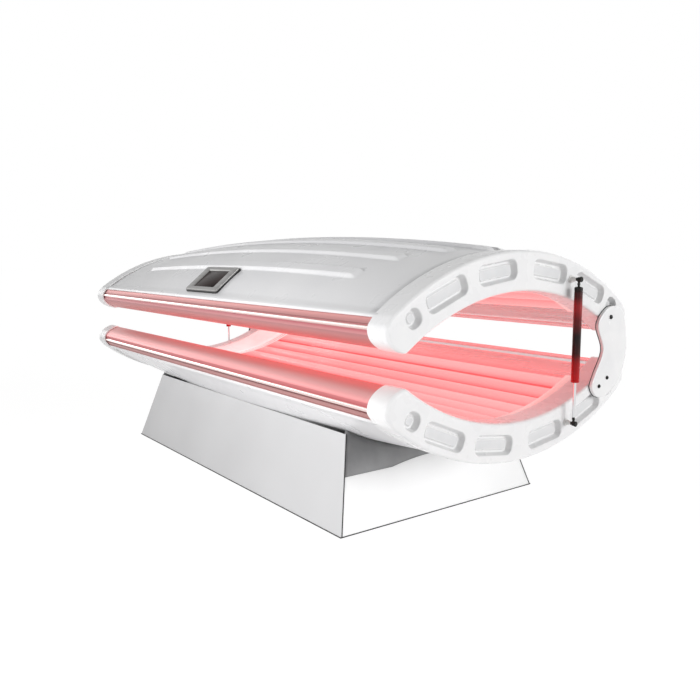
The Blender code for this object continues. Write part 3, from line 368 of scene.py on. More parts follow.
# Lacquered steel tube: black gloss lacquer, with the red lamps' reflection painted on it as two red bands
# along its length.
STRUT_LACQUER_PAINTED_REFLECTION = PaintedLightBands(
    "red_black_lacquer", "#1a0808", "#2a0c0c", 20, (0.16, 0.24), 4, 0.005, ior=1.3,
    stops=(
        (0.399, "#c8161a"), (0.445, "#b01417"), (0.480, "#3a1210"), (0.520, "#1c1212"),
        (0.560, "#6c1a1c"), (0.600, "#a8282c"), (0.632, "#4a1416"), (0.650, "#0c0c0c"),
    ),
)
# Satin anodised aluminium: silver grey with a fine brush along its length.
BEZEL_METAL = Finish(
    "satin_anodised_aluminium", "#8d8c8b", "#7b7a79", 12, (0.30, 0.44), 3, 0.01, 0.9, stretch=(0.05, 1, 1)
)
# Display glass: black with a mirror gloss; its warm reddish tone is a painted reflection of the lamps' glow.
SCREEN_GLASS_PAINTED_REFLECTION = Finish("display_glass", "#130c0b", "#2b1a18", 70, (0.12, 0.20), 60, 0.005, ior=1.10)
# Powder-coated steel sheet: light grey, satin, with a fine pebble that softens highlights.
PANEL_PAINT = Finish("grey_powder_coat", "#cccccd", "#c5c5c6", 380, (0.38, 0.5), 4, 0.03)
# The same coat in white on the short panels.
END_PAINT = Finish("white_powder_coat", "#f6f6f6", "#f0f0f0", 300, (0.36, 0.48), 4, 0.03)
# Thermoformed polystyrene: satin, with drawn streaks from the forming; its mid grey is painted shade for the
# dim inside of the base.
PAN_PAINTED_SHADE = Finish(
    "thermoformed_polystyrene", "#8c8c8d", "#7f7f80", 90, (0.35, 0.5), 6, 0.04, stretch=(0.25, 1.6, 1.6)
)
# Zinc-plated steel: cool grey, spangled in patches.
ZINC = Finish("zinc_plated_steel", "#a2a4a6", "#84878a", 14, (0.35, 0.55), 3, 0.02, 0.9)
# Black paint on structural tube: dull black, slightly dusty.
TUBE_PAINT = Finish("black_chassis_paint", "#1d1d1e", "#2c2c2d", 35, (0.45, 0.6), 3, 0.03)
# Moulded rubber: matt black-grey with a dry bloom.
RUBBER = Finish("moulded_rubber", "#1b1b1c", "#2b2b2c", 10, (0.7, 0.85), 1.5, 0.05, ior=1.52)
# Folded aluminium case: satin grey.
CASE_METAL = Finish(
    "mill_aluminium", "#b4b5b8", "#9c9da1", 20, (0.3, 0.45), 4, 0.01, 0.9, stretch=(0.1, 1, 1)
)
# Moulded polycarbonate case: matt dark grey, spark-eroded texture.
CASE_PLASTIC = Finish("textured_polycarbonate", "#59595c", "#4c4c4f", 30, (0.5, 0.62), 2, 0.04, ior=1.58)
# Glass-filled nylon: matt black with a grey haze where fibres reach the skin.
BLACK_NYLON = Finish("black_glass_filled_nylon", "#202021", "#2f2f31", 12, (0.42, 0.58), 2, 0.03)
# Moulded polycarbonate rocker: deep red with a soft gloss.
ROCKER_RED = Finish("red_polycarbonate", "#a3191b", "#8c1113", 10, (0.2, 0.3), 2, 0.01, ior=1.58)
# Seam floors: dull grey, painted shade for the narrow grooves, and slightly rosy as painted lamp light.
SEAM_SHADE = Finish("seam_painted_shade", "#8d6b6a", "#7c5b5a", 8, (0.5, 0.65), 2, 0.02)


# Meshes


@dataclass(frozen=True)
class Seat:
    """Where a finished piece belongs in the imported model."""

    body: str
    slot: str
    nodes: tuple[str, ...] = ()


def settle(
    name: str,
    bm: BMesh,
    finishes: Sequence[Finish],
    seat: Seat,
    sharp: float = 30.0,
    wall: float = 0.0,
    even: bool = False,
) -> None:
    """Turns a finished bmesh into a piece that rides on its body.

    Args:
        name: Name of the piece.
        bm: Its mesh in the row frame, used up here.
        finishes: Finish of each material index.
        seat: Body, slot and replaced nodes.
        sharp: Angle in degrees above which an edge stays sharp.
        wall: Thickness that an open sheet gets on its inner side.
        even: Whether large flat faces keep the shading to themselves.
    """
    mesh = bpy.data.meshes.new(name)
    bm.to_mesh(mesh)
    bm.free()
    mesh.shade_smooth()
    mesh.set_sharp_from_angle(angle=math.radians(sharp))
    for finish in finishes:
        mesh.materials.append(finish.material())
    piece = bpy.data.objects.new(name, mesh)
    bpy.context.scene.collection.objects.link(piece)
    if wall:
        skin = piece.modifiers.new("wall", "SOLIDIFY")
        skin.thickness = wall
        skin.offset = -1
    if even:
        piece.modifiers.new("even_faces", "WEIGHTED_NORMAL").keep_sharp = True
    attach(piece, seat.body)
    if seat.nodes:
        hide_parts(*seat.nodes)
    LOG.info("%s: %d faces on %s", name, len(mesh.polygons), seat.body)


def chain(bm: BMesh, places: Sequence[Vector], closed: bool = True) -> list[BMVert]:
    """Starts a mesh from a row of vertices joined by edges.

    Args:
        bm: Mesh to add to.
        places: Where the vertices lie.
        closed: Whether the last one joins the first.

    Returns:
        The vertices in order.
    """
    row = [bm.verts.new(place) for place in places]
    for first, second in zip(row, row[1:] + (row[:1] if closed else [])):
        bm.edges.new((first, second))
    return row


def row_edges(bm: BMesh, row: list[BMVert]) -> list[BMEdge]:
    """Edges that join the vertices of an open or a closed row."""
    return [edge for pair in zip(row, row[1:] + row[:1]) if (edge := bm.edges.get(pair))]


def draw_out(bm: BMesh, row: list[BMVert], places: Sequence[Vector]) -> list[BMVert]:
    """Extrudes a row of edges and puts each new vertex at its place.

    Args:
        bm: Mesh that holds the row.
        row: Vertices of the row in order.
        places: Where the new vertices go.

    Returns:
        The new row in the same order.
    """
    made = bmesh.ops.extrude_edge_only(bm, edges=row_edges(bm, row))["geom"]
    fresh = {item for item in made if isinstance(item, BMVert)}
    twins = []
    for vert, place in zip(row, places):
        twin = next(edge.other_vert(vert) for edge in vert.link_edges if edge.other_vert(vert) in fresh)
        twin.co = place
        twins.append(twin)
    return twins


def curved_sheet(
    bm: BMesh, xs: Sequence[float], ys: Sequence[float], place: Callable[[float, float], Vector], up: int
) -> None:
    """Lays a grid over a curved face.

    Args:
        bm: Mesh to add to.
        xs: Stations along the first direction.
        ys: Stations along the second direction.
        place: Point of the face at two stations.
        up: Sign of Z on the face's outer side.
    """
    across, along = len(xs) - 1, len(ys) - 1
    made = bmesh.ops.create_grid(bm, x_segments=across, y_segments=along, size=1.0)["verts"]
    for vert in made:
        i, j = round((vert.co.x + 1) / 2 * across), round((vert.co.y + 1) / 2 * along)
        vert.co = place(xs[i], ys[j])
    faces = list({face for vert in made for face in vert.link_faces})
    bm.normal_update()
    if sum(face.normal.z for face in faces) * up < 0:
        bmesh.ops.reverse_faces(bm, faces=faces)


def stack(bm: BMesh, rings: Sequence[Sequence[Vector]]) -> None:
    """Draws a closed body through outlines, with a face on the first and on the last.

    Args:
        bm: Mesh to add to.
        rings: Outlines in order, with the same number of points each.
    """
    row = chain(bm, rings[0])
    bm.faces.new(row)
    for ring in rings[1:]:
        row = draw_out(bm, row, ring)
    bm.faces.new(row)
    bmesh.ops.recalc_face_normals(bm, faces=bm.faces)


def turn(
    bm: BMesh, profile: Sequence[Point], centre: Vector, axis: Vector, steps: int, index: int = 0
) -> None:
    """Spins a profile round an axis into a turned shape that shares no vertex with the rest.

    Args:
        bm: Mesh to add to.
        profile: (place along the axis, radius) from one end to the other.
        centre: Point on the axis that the places count from.
        axis: Direction of the axis.
        steps: Facets round the shape.
        index: Material index of its faces.
    """
    part = bmesh.new()
    side = axis.orthogonal().normalized()
    row = chain(part, [centre + axis * along + side * radius for along, radius in profile], closed=False)
    geom = row + row_edges(part, row)
    bmesh.ops.spin(part, geom=geom, cent=centre, axis=axis, angle=math.tau, steps=steps, use_merge=True)
    bmesh.ops.remove_doubles(part, verts=part.verts, dist=SEAM)
    bmesh.ops.recalc_face_normals(part, faces=part.faces)
    for face in part.faces:
        face.material_index = index
    mesh = bpy.data.meshes.new("turned")
    part.to_mesh(mesh)
    part.free()
    bm.from_mesh(mesh)
    bpy.data.meshes.remove(mesh)


def soften(bm: BMesh, sharp: float, radius: float, segments: int) -> None:
    """Rounds the edges that are sharper than an angle.

    Args:
        bm: Mesh to round.
        sharp: The angle in degrees.
        radius: Width of the rounding.
        segments: Facets across it.
    """
    edges = [edge for edge in bm.edges if edge.calc_face_angle(0) > math.radians(sharp)]
    bmesh.ops.bevel(
        bm, geom=edges, offset=radius, segments=segments, affect="EDGES", profile=0.5, material=-1,
        clamp_overlap=True,
    )


def fillet(radius: float, steps: int) -> list[Point]:
    """Quarter round from a flat face to a wall.

    Args:
        radius: Radius of the round.
        steps: Number of facets.

    Returns:
        (outward, downward) shift of each step after the first.
    """
    turns = [math.pi / 2 * i / steps for i in range(1, steps + 1)]
    return [(radius * math.sin(t), radius * (1 - math.cos(t))) for t in turns]


def rounded_rectangle(width: float, height: float, corner: float, steps: int = 8) -> list[Point]:
    """Outline of a rectangle with round corners about the origin.

    Args:
        width: Size along the first direction.
        height: Size along the second direction.
        corner: Radius of the corners.
        steps: Facets in each corner.

    Returns:
        Points in order.
    """
    points = []
    for quarter, (sx, sy) in enumerate(((1, 1), (-1, 1), (-1, -1), (1, -1))):
        for i in range(steps + 1):
            t = math.pi / 2 * (quarter + i / steps)
            points.append((
                sx * (width / 2 - corner) + corner * math.cos(t),
                sy * (height / 2 - corner) + corner * math.sin(t),
            ))
    return points


def offset(loop: Sequence[Point], distance: float) -> list[Point]:
    """Moves a closed outline outwards.

    Args:
        loop: Points in order.
        distance: How far, negative for inwards.

    Returns:
        The moved points.
    """
    count = len(loop)
    edges = [Vector(loop[(i + 1) % count]) - Vector(loop[i]) for i in range(count)]
    area = sum(a[0] * b[1] - b[0] * a[1] for a, b in zip(loop, [*loop[1:], loop[0]]))
    sense = 1 if area > 0 else -1
    normals = [sense * Vector((edge.y, -edge.x)).normalized() for edge in edges]
    moved = []
    for i in range(count):
        before, after = normals[i - 1], normals[i]
        shift = (before + after) / (1 + before.dot(after)) * distance
        moved.append((loop[i][0] + shift.x, loop[i][1] + shift.y))
    return moved


def eased(loop: Sequence[Point], spacing: float, passes: int) -> list[Point]:
    """Spaces a closed outline evenly and rounds its corners.

    Args:
        loop: Points in order.
        spacing: Distance between the new points.
        passes: How often each point is drawn towards its neighbours.

    Returns:
        The new points.
    """
    points = []
    for start, stop in zip(loop, [*loop[1:], loop[0]]):
        count = max(round(math.dist(start, stop) / spacing), 1)
        points += [
            (start[0] + (stop[0] - start[0]) * i / count, start[1] + (stop[1] - start[1]) * i / count)
            for i in range(count)
        ]
    for _ in range(passes):
        points = [
            ((a[0] + 2 * b[0] + c[0]) / 4, (a[1] + 2 * b[1] + c[1]) / 4)
            for a, b, c in zip([points[-1], *points], points, [*points[1:], points[0]])
        ]
    return points


def smooth_loop(points: Sequence[Point], steps: int) -> list[Point]:
    """Closed curve through the given points.

    Args:
        points: Points that the curve passes.
        steps: Points on each stretch.

    Returns:
        Points of the curve.
    """
    count = len(points)
    curve = []
    for i in range(count):
        before, start, stop, after = (Vector(points[(i + k) % count]) for k in (-1, 0, 1, 2))
        for step in range(steps):
            t = step / steps
            spot = start + t * (stop - before) / 2
            spot += t**2 * (before - 2.5 * start + 2 * stop - after / 2)
            spot += t**3 * (1.5 * (start - stop) + (after - before) / 2)
            curve.append((spot.x, spot.y))
    return curve


def ease(share: float) -> float:
    """Soft step from 0 to 1."""
    t = min(max(share, 0.0), 1.0)
    return t * t * (3 - 2 * t)


# The bed's form


@dataclass(frozen=True)
class BedForm:
    """Sizes that the pieces of both lamp halves share, in metres; h counts from the gap's middle."""

    mid_height: float = 0.480
    half_length: float = 0.900
    sheet_end: float = 0.912
    cap_end: float = 0.970
    crown_mid: float = 0.312
    crown_end: float = 0.265
    hem_y: float = 0.428
    hem_h: float = 0.121
    nose_y: float = 0.446
    nose_h: float = 0.094
    bead: float = 0.008
    tip_y: float = 0.392
    tip_drop: float = 0.002
    lip_y: float = 0.387
    ledge_y: float = 0.373
    under_turn: float = math.radians(65)
    arc_centre: float = -0.492
    acrylic_radius: float = 0.664
    acrylic_wall: float = 0.005
    reflector_radius: float = 0.7132
    lamp_radius: float = 0.016
    lamp_spread: float = math.radians(28)
    lamp_count: int = 12

    @property
    def lamp_circle(self) -> float:
        """Radius of the arc that the lamps lie on."""
        return (self.acrylic_radius + self.acrylic_wall + self.reflector_radius) / 2

    def place(self, x: float, y: float, h: float, half: Half) -> Vector:
        """Point of a half in the row frame."""
        return Vector((x, y, self.mid_height + half.value * h))

    def ring(self, loop: Sequence[Point], x: float, half: Half) -> list[Vector]:
        """A (y, h) outline of a half at x."""
        return [self.place(x, y, h, half) for y, h in loop]

    def axis_height(self, half: Half) -> float:
        """Height of the long axis that a half's sheets and lamps are bent about."""
        return self.mid_height + half.value * self.arc_centre

    def crown(self, x: float) -> float:
        """Height of the shell's ridge at x."""
        return self.crown_mid - (self.crown_mid - self.crown_end) * min(abs(x) / self.half_length, 1) ** 2

    def shell_radius(self, x: float) -> float:
        """Radius of the shell's arc at x."""
        rise = self.crown(x) - self.hem_h
        return (self.hem_y**2 + rise**2) / (2 * rise)

    def shell_h(self, x: float, y: float) -> float:
        """Height of the shell's outer face at (x, y)."""
        radius = self.shell_radius(x)
        return self.crown(x) - radius + math.sqrt(radius**2 - y**2)

    def arc_point(self, angle: float, radius: float) -> Point:
        """(y, h) on a circle about the long axis, angle from the crown."""
        return radius * math.sin(angle), self.arc_centre + radius * math.cos(angle)

    def arc_h(self, y: float, radius: float) -> float:
        """Height at y of a circle about the long axis."""
        return self.arc_centre + math.sqrt(radius**2 - y**2)

    def under_face(self, shares: Sequence[float]) -> list[Point]:
        """Rounded face of a rail from its bead to its tip.

        Args:
            shares: Places along the face, 0 at the bead and 1 at the tip.

        Returns:
            (y, h) of each place.
        """
        tip_h = self.arc_h(self.tip_y, self.acrylic_radius) - self.tip_drop
        start_h = self.nose_h - self.bead / 2
        across = (self.nose_y - self.tip_y) / (1 - math.cos(self.under_turn))
        deep = (start_h - tip_h) / math.sin(self.under_turn)
        turns = [self.under_turn * share for share in shares]
        return [(self.nose_y - across + across * math.cos(t), start_h - deep * math.sin(t)) for t in turns]

    def section(self) -> list[Point]:
        """Outline of a half where it enters an end cap.

        Returns:
            (y, h) points, ridge to ridge.
        """
        steps = 40
        radius = self.shell_radius(self.half_length)
        spread = math.asin(self.hem_y / radius)
        spots = [radius * math.sin(spread * i / steps) for i in range(1, steps + 1)]
        outer = [(y, self.shell_h(self.half_length, y)) for y in spots]
        nose = [(self.nose_y, self.nose_h + self.bead / 2)]
        under = self.under_face([i / 10 for i in range(11)])
        inner = [
            (self.lip_y * i / steps, self.arc_h(self.lip_y * i / steps, self.acrylic_radius))
            for i in range(steps, 0, -1)
        ]
        right = outer + nose + under + inner
        left = [(-y, h) for y, h in reversed(right)]
        crest = (0.0, self.arc_h(0.0, self.acrylic_radius))
        return [(0.0, self.crown_end), *right, crest, *left]


FORM = BedForm()


@dataclass
class Shell:
    """Double-curved skin of one half, with a rolled hem; the canopy's carries raised ribs."""

    half: Half
    ribbed: bool
    wall: float = 0.004
    rib_pitch: float = 0.1015
    rib_half_lengths: tuple[float, ...] = (0.86, 0.82, 0.745, 0.69)
    rib_foot: float = 0.020
    rib_top: float = 0.012
    rib_height: float = 0.0095
    rib_taper: float = 0.026
    hem_start: float = 0.402
    hem_y: float = 0.4328
    hem_h: float = 0.1200
    hem_lip: float = 0.002
    lip_turn: float = math.radians(160)
    hem_pull: float = 0.018
    hem_drop: float = 0.010
    outer_columns: tuple[float, ...] = (0.345, 0.365, 0.385)

    def rise(self, x: float, y: float) -> float:
        """How far the ribs stand up.

        Args:
            x: Place along the bed.
            y: Place across it.

        Returns:
            Height over the plain skin.
        """
        number = round(abs(y) / self.rib_pitch)
        if not self.ribbed or number >= len(self.rib_half_lengths):
            return 0.0
        off = abs(abs(y) - number * self.rib_pitch)
        flank = ease((self.rib_foot - off) / (self.rib_foot - self.rib_top))
        return self.rib_height * flank * ease((self.rib_half_lengths[number] - abs(x)) / self.rib_taper)

    def columns(self) -> list[float]:
        """Places across the skin, close together on the ribs' flanks.

        Returns:
            Sorted y values from hem to hem.
        """
        places = {self.hem_start * i / 26 for i in range(27)}
        if self.ribbed:
            places = {self.hem_start}
            flank = self.rib_foot - self.rib_top
            for number in range(len(self.rib_half_lengths)):
                middle = number * self.rib_pitch
                for i in range(-1, 8):
                    half = self.rib_top + flank * i / 6
                    places |= {middle + half, middle - half}
                places |= {middle + self.rib_pitch * share for share in (0, 0.4, 0.5, 0.6)}
            places |= set(self.outer_columns)
            places = {y for y in places if 0 <= y <= self.hem_start}
        return sorted({-y for y in places} | places)

    def rows(self) -> list[float]:
        """Places along the skin, close together at the ribs' ends.

        Returns:
            Sorted x values from end to end.
        """
        places = {FORM.sheet_end * i / 18 for i in range(19)}
        if self.ribbed:
            for length in self.rib_half_lengths:
                places |= {length - self.rib_taper * (i - 1) / 6 for i in range(9)}
        return sorted({-x for x in places} | places)

    def spot(self, x: float, s: float) -> Vector:
        """Point of the skin; from 1 to 2 s counts along the hem, and from 2 to 3 round its lip.

        Args:
            x: Place along the bed.
            s: Place across it.

        Returns:
            The point in the row frame.
        """
        across = 1 if s > 0 else -1
        if abs(s) < 1:
            return FORM.place(x, s, FORM.shell_h(x, s) + self.rise(x, s), self.half)
        if abs(s) > 2:
            turn_in = self.lip_turn * (abs(s) - 2)
            y = self.hem_y - self.hem_lip * (1 - math.cos(turn_in))
            return FORM.place(x, across * y, self.hem_h - self.hem_lip * math.sin(turn_in), self.half)
        slope = math.asin(self.hem_start / FORM.shell_radius(x))
        t = abs(s) - 1
        start = Vector((self.hem_start, FORM.shell_h(x, self.hem_start)))
        stop = Vector((self.hem_y, self.hem_h))
        pull = start + self.hem_pull * Vector((math.cos(slope), -math.sin(slope)))
        drop = stop + Vector((0.0, self.hem_drop))
        spot = (1 - t)**3 * start + 3 * t * (1 - t)**2 * pull + 3 * t**2 * (1 - t) * drop + t**3 * stop
        return FORM.place(x, across * spot.x, spot.y, self.half)

    def build(self) -> BMesh:
        """Lays the skin and rounds its hems.

        Returns:
            The open sheet.
        """
        roll = [1 + i / 12 for i in range(1, 13)] + [2 + i / 5 for i in range(1, 6)]
        columns = [-s for s in reversed(roll)] + self.columns() + roll
        bm = bmesh.new()
        curved_sheet(bm, self.rows(), columns, self.spot, self.half.value)
        return bm

    def dress(self) -> None:
        """Finishes the skin."""
        name = "canopy_roof" if self.half is Half.CANOPY else "tub_hull"
        seat = Seat(self.half.body, "white_shell", (self.half.word + "_shell",))
        settle(name, self.build(), [SHELL_ABS], seat, 40, self.wall)


@dataclass
class SideRail:
    """Polished extrusion along one long side of a half: face, groove, bead and rounded under face."""

    half: Half
    side: Side
    face_dish: float = 0.0012
    groove: float = 0.002
    bead_radius: float = 0.0056
    hem_gap: float = 0.0003
    foot_back: float = 0.0045
    foot_up: float = 0.0085

    def profile(self) -> list[Point]:
        """Section of the rail.

        Returns:
            (y, h) points in order.
        """
        top = (FORM.hem_y, FORM.hem_h - self.hem_gap)
        low = (FORM.nose_y - self.foot_back, FORM.nose_h + self.foot_up)
        along = Vector(low) - Vector(top)
        out = Vector((-along.y, along.x)).normalized()
        face = []
        for i in range(9):
            share = i / 8
            dish = self.face_dish * 4 * share * (1 - share)
            spot = Vector(top) + along * share - out * dish
            face.append((spot.x, spot.y))
        groove = [(low[0] - self.groove, low[1] - drop) for drop in (0.0005, 0.0018)]
        centre = FORM.nose_y - self.bead_radius
        bead = [
            (centre + self.bead_radius * math.cos(t), FORM.nose_h + self.bead_radius * math.sin(t))
            for t in (math.radians(95 - 15 * i) for i in range(12))
        ]
        under = FORM.under_face([0.20 + 0.80 * i / 16 for i in range(17)])
        lip_h = FORM.arc_h(FORM.lip_y, FORM.acrylic_radius)
        lip = [(FORM.lip_y + out, lip_h + up) for out, up in ((0.0018, -0.0052), (0.0, -0.003), (0.0, 0.004))]
        back = [(FORM.ledge_y, lip_h + 0.012), (FORM.ledge_y, FORM.hem_h - self.hem_gap)]
        return face + groove + bead + under + lip + back

    def build(self) -> BMesh:
        """Draws the section out along the bed.

        Returns:
            The closed bar, with the bead's faces in the second material.
        """
        bm = bmesh.new()
        section = [(self.side.value * y, h) for y, h in self.profile()]
        stack(bm, [FORM.ring(section, x, self.half) for x in (-FORM.sheet_end, FORM.sheet_end)])
        for face in bm.faces:
            spot = face.calc_center_median()
            height = abs(spot.z - FORM.mid_height) - FORM.nose_h
            on_bead = abs(height) < self.bead_radius and abs(spot.y) > FORM.nose_y - self.bead_radius
            face.material_index = 1 if on_bead else 0
        return bm

    def dress(self) -> None:
        """Finishes the rail."""
        seat = Seat(self.half.body, "polished_rail", (f"{self.half.word}_{self.side.word}_rail",))
        front = CANOPY_RAIL_PAINTED_LIGHT if self.half is Half.CANOPY else TUB_RAIL_PAINTED_LIGHT
        face = front if self.side is Side.FRONT else REAR_RAIL
        settle(f"{self.half.title}_{self.side.word}_trim", self.build(), [face, BEAD_METAL], seat, 25)


@dataclass
class EndCap:
    """White moulding over one end of a half: soft rim, flat face and six sunk racetrack pockets."""

    half: Half
    end: End
    proud: float = 0.0052
    rim_round: float = 0.010
    support: float = 0.0015
    wall: float = 0.0045
    face_wall: float = 0.022
    pocket_circle: float = 0.7135
    pocket_angles: tuple[float, ...] = (8.0, 22.3, 31.5)
    pocket_lengths: tuple[float, ...] = (0.135, 0.135, 0.044)
    pocket_widths: tuple[float, ...] = (0.050, 0.050, 0.044)
    pocket_corner: float = 0.018
    pocket_depth: float = 0.017
    pocket_draft: float = 0.004
    pocket_lip: float = 0.0035
    pocket_foot: float = 0.003
    pocket_moat: float = 0.0022
    pad_rise: float = 0.005
    pad_edge: tuple[Point, ...] = ((0.15, 0.2), (0.6, 0.85), (0.75, 0.97), (0.9, 1.0))
    outline_step: float = 0.004
    outline_eases: int = 2
    skirt_edge: tuple[Point, ...] = ((0.0, 0.0015), (0.0006, 0.0004), (0.0016, 0.0))

    def ring(self, loop: Sequence[Point], x: float) -> list[Vector]:
        """Puts an outline at a distance from the middle of the bed."""
        return FORM.ring(loop, self.end.value * x, self.half)

    def pocket(self, number: int, across: int) -> list[Point]:
        """Outline of one pocket on the face.

        Args:
            number: Place of the pocket from the crown.
            across: Sign of Y.

        Returns:
            (y, h) points.
        """
        angle = math.radians(self.pocket_angles[number])
        middle = FORM.arc_point(angle, self.pocket_circle)
        shape = rounded_rectangle(self.pocket_lengths[number], self.pocket_widths[number], self.pocket_corner)
        return [
            (
                across * (middle[0] + u * math.cos(angle) + v * math.sin(angle)),
                middle[1] - u * math.sin(angle) + v * math.cos(angle),
            )
            for u, v in shape
        ]

    def sink(self, bm: BMesh, row: list[BMVert], loop: list[Point]) -> None:
        """Rounds a pocket's lip, draws its wall down and closes it with a raised pad in a moat.

        Args:
            bm: Mesh of the cap.
            row: Vertices of the pocket's edge in the face.
            loop: Outline of the pocket.
        """
        x = FORM.cap_end
        lip = self.pocket_lip
        row = draw_out(bm, row, self.ring(offset(loop, lip), x))
        for out, down in fillet(lip, 5):
            row = draw_out(bm, row, self.ring(offset(loop, lip - out), x - down))
        foot, moat, pad = self.pocket_foot, self.pocket_foot + self.pocket_moat, self.pad_rise
        wall_foot = offset(loop, -self.pocket_draft)
        steps = [(0.0, foot)] + [(down, foot - out) for out, down in fillet(foot, 4)] + [(moat, 0.0)]
        steps += [(moat + pad * run, pad * rise) for run, rise in self.pad_edge]
        for inset, rise in steps:
            row = draw_out(bm, row, self.ring(offset(wall_foot, -inset), x - self.pocket_depth + rise))
        # The pad's face takes the pocket-floor finish, greyer as painted shade.
        bm.faces.new(row).material_index = 1

    def build(self) -> BMesh:
        """Fills the face round its pockets, rounds the rim and draws the skirt back.

        Returns:
            The closed moulding.
        """
        bm = bmesh.new()
        x = FORM.cap_end
        inset = offset(FORM.section(), self.proud - self.rim_round)
        face = eased(inset, self.outline_step, self.outline_eases)
        rim = chain(bm, self.ring(face, x))
        numbers = range(len(self.pocket_angles))
        loops = [self.pocket(number, across) for across in (-1, 1) for number in numbers]
        edge = self.pocket_lip + self.support
        rows = [chain(bm, self.ring(offset(loop, edge), x)) for loop in loops]
        bmesh.ops.triangle_fill(bm, edges=bm.edges[:], use_beauty=True, normal=(self.end.value, 0, 0))
        for row, loop in zip(rows, loops):
            self.sink(bm, row, loop)
        radius = self.rim_round - self.support
        back = FORM.half_length
        steps = [(self.support, 0.0)] + [(self.support + out, down) for out, down in fillet(radius, 6)]
        drawn = [(out, x - down) for out, down in steps]
        drawn += [(self.rim_round - inward, back + short) for inward, short in self.skirt_edge]
        drawn += [(self.rim_round - self.wall, place) for place in (back, x - self.face_wall)]
        for out, place in drawn:
            rim = draw_out(bm, rim, self.ring(offset(face, out), place))
        normal = (-self.end.value, 0, 0)
        bmesh.ops.triangle_fill(bm, edges=row_edges(bm, rim), use_beauty=True, normal=normal)
        bmesh.ops.recalc_face_normals(bm, faces=bm.faces)
        return bm

    def dress(self) -> None:
        """Finishes the moulding."""
        name = f"{self.half.title}_end_moulding_{self.end.word}"
        seat = Seat(self.half.body, "white_cap", (f"{self.half.word}_end_cap_{self.end.word}",))
        settle(name, self.build(), [CAP_ABS, POCKET_FLOOR_PAINTED_SHADE], seat, 35, even=True)


